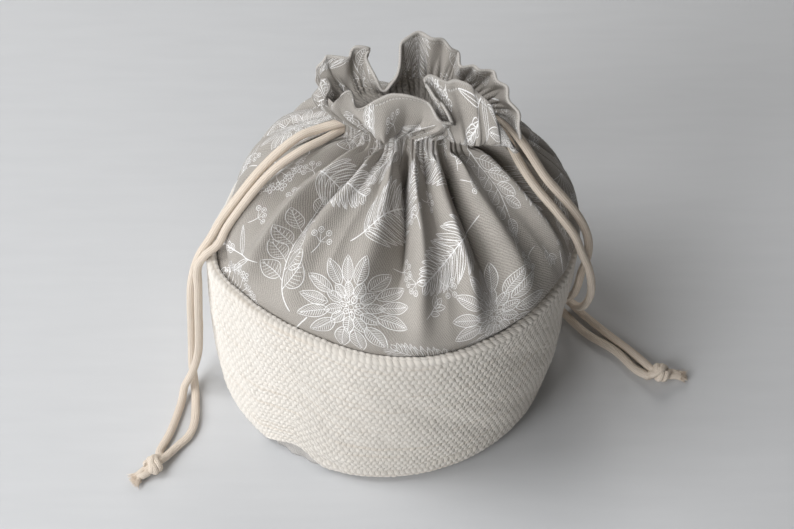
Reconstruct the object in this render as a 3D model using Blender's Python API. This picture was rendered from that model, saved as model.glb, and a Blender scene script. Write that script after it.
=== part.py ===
"""Kinchaku drawstring pouch: a round basket of woven cotton with a gathered cloth top.

The woven band stands on a cloth base and holds a cloth lining. Two cloth panels, front and back,
are sewn inside its rim. They close over the top in folds, are gathered at the neck by two
drawcords that run in a casing, and end above it in a ruffled frill.

Metres, +Z up, the front toward -Y. The origin is on the floor under the middle of the pouch.
"""

import math

import bmesh
import bpy
from mathutils import Vector

MM = 0.001

# Clearances: between cloths that are sewn together, and around the cords
SEAM_GAP = 0.3 * MM

# Woven band
BASE_RADIUS = 94.0 * MM
BAND_HEIGHT = 113.0 * MM
BAND_WALL = 5.0 * MM
BAND_BELLY = 1.5 * MM
BAND_LEAN = Vector((-3.5 * MM, -1.0 * MM, 0.0))
BAND_COLUMNS = 52
BAND_ROWS = 26
BUMP_DEPTH = 1.2 * MM
RIM_BEAD = 1.5 * MM
TURN_RADIUS = 8.0 * MM
FOOT_WIDTH = 2.0 * MM

# Plan of the soft rim as it sags out of round: angle in degrees, outer radius in mm
RIM_PLAN = (
    (0, 100.5), (20, 95), (40, 89), (70, 85), (110, 85), (150, 85), (175, 88), (190, 97),
    (203, 100.5), (216, 97), (235, 94.5), (250, 95), (265, 98.5), (285, 101.5), (315, 102), (340, 101.5),
)

# The stretch at the front left where the band's lower edge has ridden up
LIFT_ANGLE = math.radians(238.0)
LIFT_SPREAD = math.radians(11.0)
LIFT_HEIGHT = 11.0 * MM

# Base cloth and lining
BASE_CLOTH = 2.2 * MM
BASE_COLUMNS = 52
BASE_SIDE_HEIGHT = 16.0 * MM
LINING_CLOTH = 1.2 * MM
LINING_COLUMNS = 28
LINING_EASE = 1.5 * MM

# Cloth top: the dome from the rim to the neck
CLOTH = 1.8 * MM
TUCK_DEPTH = 7.0 * MM
DOME_PLAN = (
    (0, 99), (20, 90), (40, 83), (60, 80), (90, 79), (120, 82), (150, 82), (180, 84),
    (195, 88.5), (210, 91), (227, 89), (247, 89), (263, 92.5), (277, 97), (295, 100), (305, 101.5),
    (320, 100.5), (340, 100.5),
)
DOME_POWER = 1.6
DOME_FILL = 2.5 * MM
PANEL_COLUMNS = 40
DOME_STEPS = (0.0, 0.05, 0.12, 0.26, 0.42, 0.58, 0.73, 0.87, 1.0)

# Neck, where the cords draw the cloth together
NECK_CENTRE = Vector((15.5 * MM, 6.0 * MM, 0.0))
NECK_HALF_WIDTH = 38.0 * MM
NECK_HALF_DEPTH = 17.0 * MM
NECK_HEIGHT = 170.0 * MM
CASING_HEIGHT = 10.0 * MM

# Folds that fan out of the gathers. A share runs from 0 at the left vent to 1 at the right one
FOLD_COUNT = 10
FOLD_DEPTH = 4.0 * MM
FOLD_STRENGTH = (0.5, 0.8, 1.1, 0.9, 1.5, 0.7, 1.2, 1.1, 0.8, 0.6)
PLEAT_DEPTH = 2.2 * MM
NECK_SPREAD = ((0.0, 0.0), (0.25, 0.26), (0.35, 0.34), (0.45, 0.43), (0.65, 0.61), (0.75, 0.69), (1.0, 1.0))
RIM_SPREAD = ((0.0, 0.0), (0.25, 0.23), (0.35, 0.37), (0.45, 0.51), (0.65, 0.69), (0.75, 0.82), (1.0, 1.0))

# Side vents, through which the cords leave
VENT_ANGLE = math.radians(15.0)
VENT_SHARE = 0.07
VENT_START = 0.6

# Frill above the casing: its steps, how far it bellies out, and the free edges from left to right
FRILL_STEPS = (0.25, 0.5, 0.75, 1.0)
FRONT_BELLY = 11.0 * MM
BACK_BELLY = 5.0 * MM
FRONT_HEM = (
    (-39, 12, 189), (-31, 16, 198), (-30, 3, 190), (-25.5, 2, 196), (-20, 2, 202),
    (-16, -3, 196), (-6.5, -3, 201), (1.5, -2, 204), (10, -3, 205), (18, -8, 203),
    (25, -17, 200), (31, -19, 199), (29, -12, 202), (22, -2, 205), (17.5, 7, 206),
    (19, 9, 206.5), (29, 5, 207), (38, 2, 208.5), (45, -4, 206), (51, -10, 202),
    (56, -16, 194), (60, -22, 187),
)
BACK_HEM = (
    (-37, 19, 193), (-34, 23, 204), (-26, 23, 206), (-20, 23, 206), (-16, 27, 209),
    (-10, 26, 209), (-10, 18, 205), (-8, 12, 199), (-2, 13, 198), (3, 17, 199),
    (4, 26, 203), (6, 32, 210), (12, 33, 212), (20, 32, 212), (28, 29, 210),
    (34, 27, 206), (37, 19, 204), (44, 17, 204), (50, 16, 203), (56, 8, 203),
    (61, -4, 201), (64.5, -14, 196), (65.5, -19, 189),
)

# Drawcords: one through each vent and round the casing, both ends knotted together
CORD_DIAMETER = 4.5 * MM
CORD_SPACING = 11.5 * MM
LEFT_CORD = (
    (-122, -80.5, 4), (-117, -73.5, 2.6), (-111.5, -66.5, 2.4), (-109, -57, 2.4),
    (-109.5, -42, 2.5), (-110.5, -33, 3.2), (-111.5, -26, 12), (-110.5, -24, 29),
    (-108.5, -26, 53), (-107, -28, 73), (-104.5, -27.5, 93), (-99.5, -27, 110),
    (-93, -24.5, 121), (-85.5, -20.5, 133.5), (-76, -17, 147), (-66.5, -12.5, 158.5),
    (-56, -7, 167.5), (-45, -1.3, 173.5), (-34.5, 3.2, 174.5), (-23, 6, 176.4),
    (-19, 7.5, 176.2), (-13.5, 9.8, 175.3), (-5, 13.6, 173.7), (5, 15.6, 173), (15.5, 16, 173),
    (26, 14.4, 173), (34, 11, 173), (37, 6, 173), (34, 1, 173),
    (26, -2.6, 173), (15.5, -4, 173), (3, -3.4, 173), (-5, -1.4, 172.9),
    (-13.5, 4, 171.8), (-19, 6.3, 171.2), (-23, 6, 171.2), (-33, -1.6, 171.5), (-43.5, -8, 170.5),
    (-55, -13.3, 165), (-65, -18, 156.5), (-74.5, -22.5, 145), (-83, -26, 132.5),
    (-88.5, -29, 122), (-95.5, -31.5, 116), (-100, -33, 108), (-101, -34, 93),
    (-102.5, -34, 73), (-104, -32.5, 53), (-106.5, -31, 31), (-111, -33, 16),
    (-115.5, -36.5, 8), (-117, -42, 3), (-118.5, -50, 2.4), (-122, -64.5, 2.5),
    (-126.5, -76, 2.4), (-126.5, -82.5, 4),
)
RIGHT_CORD = (
    (148.5, -20.5, 4), (143.5, -13.5, 2.6), (137, -6, 2.4), (127.5, 3.5, 2.4),
    (112.5, 19.9, 2.4), (107, 26.5, 3), (104.5, 26, 7), (105.5, 16, 17),
    (106, 0, 34), (107, -16, 55), (108, -25, 74), (107, -30.5, 91),
    (104, -32.5, 107), (99.5, -32, 119), (94.5, -31, 132), (85, -27.5, 145.5),
    (74, -21, 157), (66, -13, 166), (60, -3, 172.5), (56.5, 3.2, 172.6),
    (52.5, 6, 173.6), (49, 5.2, 174.3), (44, 2.6, 175.8), (31, -3, 178.5), (15.5, -4, 178.5), (4, -2.8, 178.5),
    (-3, 1, 178.5), (-6, 6, 178.5), (-3, 11, 178.5), (4, 14.8, 178.5),
    (15.5, 16, 178.5), (31, 14, 178.6), (43, 9.8, 179), (49, 7, 179.2),
    (53, 6.2, 178.9), (58, 4, 178.4), (62.5, -0.5, 176.8), (70, -9, 171), (79, -17, 160), (89.5, -20.5, 147),
    (98, -22, 134), (103, -24, 121.5), (104, -25.5, 109), (102, -23.5, 92),
    (102, -17, 74), (101.5, -8, 55), (99, 8, 30), (98, 19, 12),
    (100.5, 21.5, 3.4), (108, 12, 2.4), (115.5, 3.6, 2.4), (129.5, -7.3, 2.4),
    (139.5, -20, 2.4), (145.5, -25.5, 3.6),
)

# Knots: radii along the line from the cords to the tip of the tails
KNOT_SIDES = 10
KNOT_PROFILE = ((0.0, 2.6), (0.1, 4.6), (0.28, 5.4), (0.45, 4.4), (0.55, 2.8), (0.8, 2.4), (1.0, 1.4))
LEFT_KNOT_LINE = ((-125.6, -85.3, 6.2), (-139.0, -96.0, 2.8))
RIGHT_KNOT_LINE = ((150.3, -25.3, 6.2), (167.5, -25.5, 2.8))

# Colours, linear RGB
CREAM = (0.74, 0.68, 0.60)
TAUPE = (0.24, 0.22, 0.20)
GREY = (0.30, 0.29, 0.28)
PEACH = (0.75, 0.64, 0.53)


def clear_scene():
    """Remove every object that the scene starts with."""
    for item in list(bpy.data.objects):
        bpy.data.objects.remove(item, do_unlink=True)


def fabric(name, colour, roughness):
    """A matt cloth material."""
    material = bpy.data.materials.new(name)
    material.use_nodes = True
    shader = material.node_tree.nodes["Principled BSDF"]
    shader.inputs["Base Color"].default_value = (*colour, 1.0)
    shader.inputs["Roughness"].default_value = roughness
    shader.inputs["Metallic"].default_value = 0.0
    return material


def smooth_step(low, high, value):
    """0 below low, 1 above high, and a smooth change between."""
    share = min(1.0, max(0.0, (value - low) / (high - low)))
    return share * share * (3.0 - 2.0 * share)


def mix(start, end, share):
    """The value at this share of the way from start to end."""
    return start + (end - start) * share


def add_object(name, mesh, material):
    """Link a mesh as one named object with one material."""
    item = bpy.data.objects.new(name, mesh)
    bpy.context.collection.objects.link(item)
    mesh.materials.append(material)
    return item


def ring_mesh(name, rings, capped):
    """Join rings of points in order. The rings close on themselves unless their ends are capped."""
    shape = bmesh.new()
    loops = [[shape.verts.new(point) for point in ring] for ring in rings]
    pairs = list(zip(loops, loops[1:]))
    if not capped:
        pairs.append((loops[-1], loops[0]))
    for near, far in pairs:
        for index, start in enumerate(near):
            following = (index + 1) % len(near)
            shape.faces.new((start, near[following], far[following], far[index]))
    if capped:
        shape.faces.new(list(reversed(loops[0])))
        shape.faces.new(loops[-1])
    bmesh.ops.recalc_face_normals(shape, faces=shape.faces)
    mesh = bpy.data.meshes.new(name)
    shape.to_mesh(mesh)
    shape.free()
    return mesh


def band_point(angle, radius, height):
    """A point of the band, whose foot sits a little off the middle of its rim."""
    lean = BAND_LEAN * (1.0 - height / BAND_HEIGHT)
    return lean + Vector((radius * math.cos(angle), radius * math.sin(angle), height))


def plan_radius(plan, angle):
    """Radius at this angle, from a smooth closed curve through the plan's points."""
    degrees = math.degrees(angle) % 360.0
    count = len(plan)
    index = max(number for number in range(count) if plan[number][0] <= degrees)
    before, start, end, after = (plan[(index + shift) % count] for shift in (-1, 0, 1, 2))
    share = (degrees - start[0]) / ((end[0] - start[0]) % 360)
    pull = 0.5 * (end[1] - before[1])
    push = 0.5 * (after[1] - start[1])
    cubic = 2.0 * start[1] - 2.0 * end[1] + pull + push
    square = 3.0 * end[1] - 3.0 * start[1] - 2.0 * pull - push
    return (((cubic * share + square) * share + pull) * share + start[1]) * MM


def wall_radius(angle, height):
    """Outer radius of the band's wall, without its turned-in foot."""
    share = height / BAND_HEIGHT
    return mix(BASE_RADIUS, plan_radius(RIM_PLAN, angle), share) + BAND_BELLY * math.sin(math.pi * share)


def band_radius(angle, height):
    """Outer radius of the band, rounded in at the floor."""
    below = max(0.0, 1.0 - height / TURN_RADIUS)
    return wall_radius(angle, height) - TURN_RADIUS * (1.0 - math.sqrt(1.0 - below * below))


def edge_lift(angle):
    """How far the band's lower edge has ridden up here, from 0 to 1."""
    away = (angle - LIFT_ANGLE) / LIFT_SPREAD
    return math.exp(-away ** 4)


def weave_depth(row, column):
    """Odd rows stand proud as ridges, and on them every other place is a full bump, staggered."""
    if row % 2 == 0:
        return 0.0
    full = (column + row // 2) % 2 == 0
    return BUMP_DEPTH if full else 0.3 * BUMP_DEPTH


def band_ring(column):
    """One upright section of the band: up the woven face, over the rim and down the inside."""
    angle = 2.0 * math.pi * column / BAND_COLUMNS
    lift = edge_lift(angle)
    edge = LIFT_HEIGHT * lift
    top = BAND_HEIGHT - RIM_BEAD
    ring = []
    for row in range(BAND_ROWS + 1):
        height = mix(edge, top, row / BAND_ROWS)
        ring.append(band_point(angle, band_radius(angle, height) + weave_depth(row, column), height))
    inner_top = wall_radius(angle, BAND_HEIGHT) - BAND_WALL
    ring.append(band_point(angle, mix(inner_top, wall_radius(angle, top), 0.6), BAND_HEIGHT))
    ring.append(band_point(angle, inner_top, top))
    middle = 0.5 * BAND_HEIGHT
    ring.append(band_point(angle, wall_radius(angle, middle) - BAND_WALL, middle))
    low = max(edge, TURN_RADIUS) + 1.0 * MM
    ring.append(band_point(angle, wall_radius(angle, low) - BAND_WALL, low))
    foot_outer = band_radius(angle, edge)
    foot_inner = foot_outer - mix(FOOT_WIDTH, BAND_WALL, lift)
    ring.append(band_point(angle, foot_inner, edge + BAND_WALL * (1.0 - lift) * 0.9))
    ring.append(band_point(angle, foot_inner, edge))
    return ring


def build_band(material):
    """The woven cotton wall: one closed body with staggered bumps on its outer face."""
    rings = [band_ring(column) for column in range(BAND_COLUMNS)]
    add_object("woven_band", ring_mesh("woven_band", rings, capped=False), material)


def turned_mesh(name, columns, profile_at):
    """A turned shape whose profile of (radius, height) may change with the angle."""
    shape = bmesh.new()
    first = profile_at(0.0)
    bottom = shape.verts.new(band_point(0.0, 0.0, first[0][1]))
    top = shape.verts.new(band_point(0.0, 0.0, first[-1][1]))
    loops = []
    for column in range(columns):
        angle = 2.0 * math.pi * column / columns
        points = profile_at(angle)[1:-1]
        loops.append([shape.verts.new(band_point(angle, radius, height)) for radius, height in points])
    for near, far in zip(loops, loops[1:] + loops[:1]):
        shape.faces.new((bottom, near[0], far[0]))
        shape.faces.new((top, far[-1], near[-1]))
        for index in range(len(near) - 1):
            shape.faces.new((near[index], near[index + 1], far[index + 1], far[index]))
    bmesh.ops.recalc_face_normals(shape, faces=shape.faces)
    mesh = bpy.data.meshes.new(name)
    shape.to_mesh(mesh)
    shape.free()
    return mesh


def base_profile(angle):
    """Section of the base cloth, from the middle of its underside round to the middle of its top."""
    lift = smooth_step(0.8, 1.0, edge_lift(angle))
    foot = BASE_RADIUS - TURN_RADIUS - FOOT_WIDTH - SEAM_GAP
    clear = BAND_WALL + 3.0 * SEAM_GAP
    side = wall_radius(angle, BASE_SIDE_HEIGHT) - clear
    step = BAND_WALL + SEAM_GAP
    high = TURN_RADIUS + 3.0 * MM
    low_side = wall_radius(angle, high) - clear - 0.5 * MM
    bulge = BASE_RADIUS - 4.5 * MM
    sewn = (
        (0.0, 0.0), (foot, 0.0), (foot, step), (low_side, high), (side, BASE_SIDE_HEIGHT),
        (side - BASE_CLOTH, BASE_SIDE_HEIGHT), (foot - BASE_CLOTH, step + BASE_CLOTH),
        (foot - BASE_CLOTH, BASE_CLOTH), (0.0, BASE_CLOTH),
    )
    free = (
        (0.0, 0.0), (foot + 3.0 * MM, 0.0), (bulge, step), (low_side, high), (side, BASE_SIDE_HEIGHT),
        (side - BASE_CLOTH, BASE_SIDE_HEIGHT), (foot, step + BASE_CLOTH), (foot, BASE_CLOTH),
        (0.0, BASE_CLOTH),
    )
    return [(mix(a[0], b[0], lift), mix(a[1], b[1], lift)) for a, b in zip(sewn, free)]


def build_base(material):
    """The round cloth base that shows where the band's edge has ridden up."""
    add_object("base_panel", turned_mesh("base_panel", BASE_COLUMNS, base_profile), material)


def lining_profile(angle):
    """Section of the lining: a cup that stands on the base and lines the wall up to the cloth top."""
    floor = BASE_CLOTH + SEAM_GAP
    foot = BASE_RADIUS - TURN_RADIUS - FOOT_WIDTH - BASE_CLOTH - 3.0 * SEAM_GAP
    low_side = BASE_RADIUS - BAND_WALL - BASE_CLOTH - 6.0 * SEAM_GAP - 2.0 * MM
    top = BAND_HEIGHT - TUCK_DEPTH - CLOTH
    middle = 0.55 * BAND_HEIGHT
    clear = BAND_WALL + LINING_EASE
    above = BASE_SIDE_HEIGHT + 5.0 * MM
    outer = [
        (0.0, floor), (foot, floor), (foot, BAND_WALL + BASE_CLOTH), (low_side, BASE_SIDE_HEIGHT),
        (wall_radius(angle, above) - clear, above),
        (wall_radius(angle, middle) - clear, middle), (wall_radius(angle, top) - clear, top),
    ]
    inner = [(max(0.0, radius - LINING_CLOTH), height + LINING_CLOTH) for radius, height in outer[:-1]]
    inner.append((outer[-1][0] - LINING_CLOTH, top))
    return outer + list(reversed(inner))


def build_lining(material):
    """The cloth lining inside the band."""
    add_object("lining", turned_mesh("lining", LINING_COLUMNS, lining_profile), material)


def spread(table, share):
    """Place of a share, read from a table of (share, place) pairs."""
    for start, end in zip(table, table[1:]):
        if share <= end[0]:
            return mix(start[1], end[1], (share - start[0]) / (end[0] - start[0]))
    return table[-1][1]


def rim_angle(side, share):
    """Angle round the rim, from the left side seam to the right one. The front has side 1."""
    return math.pi + side * math.pi * spread(RIM_SPREAD, share)


def neck_angle(side, share, step):
    """Angle round the neck. The panels stop short of each other at the vents."""
    vent = VENT_ANGLE * smooth_step(VENT_START, 1.0, step)
    return math.pi + side * mix(vent, math.pi - vent, spread(NECK_SPREAD, share))


def tuck_point(angle, height):
    """Where the cloth is sewn inside the band's rim. It stands in from the wall where the dome does."""
    radius = wall_radius(angle, height) - BAND_WALL - 3.0 * SEAM_GAP
    if height >= BAND_HEIGHT:
        radius = min(radius, plan_radius(DOME_PLAN, angle))
    return band_point(angle, radius, height)


def neck_point(angle):
    """A point of the oval that the cords draw the neck down to."""
    across = NECK_HALF_WIDTH * math.cos(angle)
    deep = NECK_HALF_DEPTH * math.sin(angle)
    return NECK_CENTRE + Vector((across, deep, NECK_HEIGHT))


def dome_point(side, share, step):
    """The dome without its folds, from the tucked edge (step 0) to the neck (step 1)."""
    angle = rim_angle(side, share)
    if step <= 0.0:
        return tuck_point(angle, BAND_HEIGHT - TUCK_DEPTH)
    if step < DOME_STEPS[2]:
        return tuck_point(angle, BAND_HEIGHT)
    outward = Vector((math.cos(angle), math.sin(angle), 0.0))
    turn = 0.5 * math.pi * min(1.0, step)
    reach = max(0.0, math.cos(turn)) ** (2.0 / DOME_POWER)
    rise = math.sin(turn) ** (2.0 / DOME_POWER)
    point = mix(neck_point(neck_angle(side, share, step)), outward * plan_radius(DOME_PLAN, angle), reach)
    point.z = mix(BAND_HEIGHT, NECK_HEIGHT, rise)
    return point + outward * DOME_FILL * math.sin(math.pi * min(1.0, 1.6 * step))


def fold_wave(share, step):
    """Depth of the folds at this place of a panel: none at the rim, deep above the middle."""
    strength = FOLD_STRENGTH[min(FOLD_COUNT - 1, int(share * FOLD_COUNT))]
    growth = smooth_step(0.1, 0.7, step)
    depth = mix(FOLD_DEPTH * strength * growth, PLEAT_DEPTH, smooth_step(0.75, 1.0, step))
    calm = smooth_step(0.0, VENT_SHARE, min(share, 1.0 - share))
    wave = math.cos(2.0 * math.pi * FOLD_COUNT * share)
    return depth * calm * (wave if wave < 0.0 else 0.6 * wave)


def body_point(side, share, step):
    """A point of a panel between the rim and the neck, with its folds."""
    point = dome_point(side, share, step)
    if step >= DOME_STEPS[2]:
        low = max(0.0, share - 0.01)
        high = min(1.0, share + 0.01)
        along = dome_point(side, high, step) - dome_point(side, low, step)
        below = max(DOME_STEPS[2], step - 0.02)
        up = dome_point(side, share, below + 0.02) - dome_point(side, share, below)
        normal = along.cross(up).normalized() * side
        point += normal * fold_wave(share, step)
    return point - Vector((0.0, side * SEAM_GAP, 0.0))


def casing_point(side, share, rise):
    """A point of the upright gathers between the neck (rise 0) and the top of the casing (rise 1)."""
    angle = neck_angle(side, share, 1.0)
    outward = Vector((math.cos(angle), math.sin(angle), 0.0))
    point = neck_point(angle) + outward * fold_wave(share, 1.0)
    point.z += CASING_HEIGHT * rise
    return point - Vector((0.0, side * SEAM_GAP, 0.0))


def smooth_route(points, count):
    """Read evenly spaced points from a smooth curve through the route's own points."""
    route = [Vector(point) * MM for point in points]
    fine = []
    for index in range(len(route) - 1):
        before = route[max(0, index - 1)]
        start = route[index]
        end = route[index + 1]
        after = route[min(len(route) - 1, index + 2)]
        for part in range(12):
            t = part / 12.0
            pull = (end - before) * 0.5
            push = (after - start) * 0.5
            fine.append(
                start * (2 * t ** 3 - 3 * t ** 2 + 1) + pull * (t ** 3 - 2 * t ** 2 + t)
                + end * (3 * t ** 2 - 2 * t ** 3) + push * (t ** 3 - t ** 2)
            )
    fine.append(route[-1])
    lengths = [0.0]
    for near, far in zip(fine, fine[1:]):
        lengths.append(lengths[-1] + (far - near).length)
    spaced = []
    index = 0
    for number in range(count + 1):
        wanted = lengths[-1] * number / count
        while index < len(fine) - 2 and lengths[index + 1] < wanted:
            index += 1
        share = (wanted - lengths[index]) / (lengths[index + 1] - lengths[index])
        spaced.append(mix(fine[index], fine[index + 1], min(1.0, share)))
    return spaced


def panel_points(side, hem):
    """Rows of points over one panel, from the tucked edge up to the frill's free edge."""
    shares = [column / PANEL_COLUMNS for column in range(PANEL_COLUMNS + 1)]
    rows = [[body_point(side, share, step) for share in shares] for step in DOME_STEPS]
    casing_top = [casing_point(side, share, 1.0) for share in shares]
    free_edge = smooth_route(hem, PANEL_COLUMNS)
    belly = FRONT_BELLY if side > 0 else BACK_BELLY
    rows.append(casing_top)
    for step in FRILL_STEPS:
        row = []
        for share, low, high in zip(shares, casing_top, free_edge):
            angle = neck_angle(side, share, 1.0)
            outward = Vector((math.cos(angle), math.sin(angle), 0.0))
            middle = mix(low, high, 0.5) + outward * belly
            row.append(mix(mix(low, middle, step), mix(middle, high, step), step))
        rows.append(row)
    return rows


def build_panel(name, side, hem, material):
    """One panel of doubled cloth. A modifier gives it its thickness on the inner side."""
    shape = bmesh.new()
    grid = [[shape.verts.new(point) for point in row] for row in panel_points(side, hem)]
    for low, high in zip(grid, grid[1:]):
        for column in range(len(low) - 1):
            corners = (low[column], low[column + 1], high[column + 1], high[column])
            shape.faces.new(corners if side > 0 else tuple(reversed(corners)))
    mesh = bpy.data.meshes.new(name)
    shape.to_mesh(mesh)
    shape.free()
    item = add_object(name, mesh, material)
    thickness = item.modifiers.new("cloth thickness", "SOLIDIFY")
    thickness.thickness = CLOTH
    thickness.offset = -1.0


def build_cord(name, route, material):
    """One drawcord as a plain tube along its smoothed route."""
    rough = [Vector(point) * MM for point in route]
    length = sum((far - near).length for near, far in zip(rough, rough[1:]))
    points = smooth_route(route, round(length / CORD_SPACING))
    curve = bpy.data.curves.new(name, "CURVE")
    curve.dimensions = "3D"
    curve.bevel_depth = CORD_DIAMETER / 2.0
    curve.bevel_resolution = 2
    curve.use_fill_caps = True
    line = curve.splines.new("POLY")
    line.points.add(len(points) - 1)
    for knot, point in zip(line.points, points):
        knot.co = (*point, 1.0)
    curve.materials.append(material)
    item = bpy.data.objects.new(name, curve)
    bpy.context.collection.objects.link(item)


def build_knot(name, line, material):
    """An overhand knot with its two tails twisted together, lumpy in section."""
    start = Vector(line[0]) * MM
    end = Vector(line[1]) * MM
    along = (end - start).normalized()
    sideways = along.cross(Vector((0.0, 0.0, 1.0))).normalized()
    upward = sideways.cross(along)
    rings = []
    for share, radius in KNOT_PROFILE:
        centre = mix(start, end, share)
        ring = []
        for index in range(KNOT_SIDES):
            angle = 2.0 * math.pi * index / KNOT_SIDES
            lump = 1.0 + 0.12 * math.cos(3.0 * angle + 4.0 * share)
            reach = radius * MM * lump
            ring.append(centre + (sideways * math.cos(angle) + upward * math.sin(angle)) * reach)
        rings.append(ring)
    add_object(name, ring_mesh(name, rings, capped=True), material)


def main():
    clear_scene()
    cream = fabric("woven_cotton", CREAM, 0.95)
    taupe = fabric("printed_cotton", TAUPE, 0.9)
    grey = fabric("plain_cotton", GREY, 0.9)
    peach = fabric("cotton_cord", PEACH, 0.85)
    build_base(grey)
    build_lining(grey)
    build_band(cream)
    build_panel("front_panel", 1, FRONT_HEM, taupe)
    build_panel("back_panel", -1, BACK_HEM, taupe)
    build_cord("left_drawcord", LEFT_CORD, peach)
    build_cord("right_drawcord", RIGHT_CORD, peach)
    build_knot("left_knot", LEFT_KNOT_LINE, peach)
    build_knot("right_knot", RIGHT_KNOT_LINE, peach)


main()
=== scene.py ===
"""Kinchaku drawstring pouch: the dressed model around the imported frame."""

import math

import bpy
import numpy as np
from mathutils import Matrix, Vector, kdtree


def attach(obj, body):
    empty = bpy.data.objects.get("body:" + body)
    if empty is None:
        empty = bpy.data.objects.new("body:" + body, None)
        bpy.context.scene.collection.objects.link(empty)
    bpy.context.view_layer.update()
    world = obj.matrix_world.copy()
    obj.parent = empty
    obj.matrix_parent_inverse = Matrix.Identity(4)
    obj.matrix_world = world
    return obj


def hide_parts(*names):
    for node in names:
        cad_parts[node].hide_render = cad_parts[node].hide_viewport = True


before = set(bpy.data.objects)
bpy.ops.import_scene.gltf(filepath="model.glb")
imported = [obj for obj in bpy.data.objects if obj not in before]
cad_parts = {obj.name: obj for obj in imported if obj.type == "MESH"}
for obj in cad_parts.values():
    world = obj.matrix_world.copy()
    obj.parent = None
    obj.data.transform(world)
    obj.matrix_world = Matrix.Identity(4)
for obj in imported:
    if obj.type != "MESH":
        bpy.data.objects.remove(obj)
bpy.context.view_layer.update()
MM = 0.001

# A whole turn, for the sines in the materials
WAVE = 6.2832

# Sizes of the solids. Only the right knot and its cord's end lie a little nearer to each other here
SEAM_GAP = 0.3 * MM
BASE_RADIUS = 94.0 * MM
BAND_HEIGHT = 113.0 * MM
BAND_WALL = 5.0 * MM
BAND_BELLY = 1.5 * MM
BAND_LEAN = (-3.5 * MM, -1.0 * MM)
TURN_RADIUS = 8.0 * MM
FOOT_WIDTH = 2.0 * MM
RIM_PLAN = (
    (0, 100.5), (20, 95), (40, 89), (70, 85), (110, 85), (150, 85), (175, 88), (190, 97),
    (203, 100.5), (216, 97), (235, 94.5), (250, 95), (265, 98.5), (285, 101.5), (315, 102), (340, 101.5),
)
LIFT_PLAN = (
    (0, 0), (222, 0), (225, 1.2), (229, 7.5), (233, 11.5), (237, 15), (240, 17), (243, 14.5), (246.5, 9.5),
    (249.5, 5), (253, 1.5), (256, 0), (360, 0),
)
BASE_CLOTH = 2.2 * MM
BASE_SIDE_HEIGHT = 16.0 * MM
LINING_EASE = 1.5 * MM
TUCK_DEPTH = 7.0 * MM
DOME_PLAN = (
    (0, 99), (20, 90), (40, 83), (60, 80), (90, 79), (120, 82), (150, 82), (180, 84),
    (195, 88.5), (210, 91), (227, 89), (247, 89), (263, 92.5), (277, 97), (295, 100), (305, 101.5),
    (320, 100.5), (340, 100.5),
)
DOME_POWER = 1.6
DOME_FILL = 2.5 * MM
DOME_FOOT = 0.12
NECK_CENTRE = (15.5 * MM, 6.0 * MM)
NECK_HALF_WIDTH = 38.0 * MM
NECK_HALF_DEPTH = 17.0 * MM
NECK_HEIGHT = 170.0 * MM
CASING_HEIGHT = 10.0 * MM
NECK_SPREAD = ((0.0, 0.0), (0.25, 0.26), (0.35, 0.34), (0.45, 0.43), (0.65, 0.61), (0.75, 0.69), (1.0, 1.0))
RIM_SPREAD = ((0.0, 0.0), (0.25, 0.23), (0.35, 0.37), (0.45, 0.51), (0.65, 0.69), (0.75, 0.82), (1.0, 1.0))
VENT_ANGLE = math.radians(9.0)
VENT_SHARE = 0.07
VENT_START = 0.6
SWELL_STEP = 0.42
BACK_BELLY = 5.0 * MM
FRONT_HEM = (
    (-39, 12, 189), (-31, 16, 198), (-30, 3, 190), (-25.5, 2, 196), (-20, 2, 202),
    (-16, -3, 196), (-6.5, -3, 201), (1.5, -2, 204), (10, -3, 205), (18, -8, 203),
    (25, -17, 200), (31, -19, 199), (29, -12, 202), (22, -2, 205), (17.5, 7, 206),
    (19, 9, 206.5), (29, 5, 207), (38, 2, 208.5), (45, -4, 206), (51, -10, 202),
    (56, -16, 194), (60, -22, 187),
)
BACK_HEM = (
    (-37, 19, 193), (-34, 23, 204), (-26, 23, 206), (-20, 23, 206), (-16, 27, 209),
    (-10, 27, 208), (-9.8, 21, 205), (-6.8, 14, 200.7), (-2, 8.5, 195.3), (1.9, 11, 198.7),
    (5, 20, 205.9), (6.1, 30, 210.1), (12, 33, 212), (20, 32, 212), (28, 29, 210),
    (34, 27, 206), (37, 19, 204), (44, 17, 204), (50, 16, 203), (56, 8, 203),
    (61, -4, 201), (64.5, -14, 196), (65.5, -19, 189),
)
FRONT_SWELL = (
    (0.0, -33.7, 5.2, 186), (0.14, -28.6, 0.8, 187), (0.22, -21.9, -3.3, 188), (0.26, -14.3, -6, 188),
    (0.29, -9.5, -11.3, 188), (0.33, -3, -20.5, 187), (0.36, 1.6, -13.5, 187.5), (0.39, 7.9, -6.3, 188),
    (0.42, 14.2, -7.9, 188.5), (0.46, 22, -14.7, 189), (0.51, 27, -12.2, 189), (0.575, 30, -10.3, 187),
    (0.637, 28.9, -12.1, 186), (0.687, 30.8, -14.8, 186), (0.75, 36.6, -19.1, 187),
    (0.85, 49.1, -20.7, 187), (0.93, 57.4, -20.1, 186), (1.0, 61.9, -19.5, 184),
)
CORD_DIAMETER = 4.5 * MM
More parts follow.
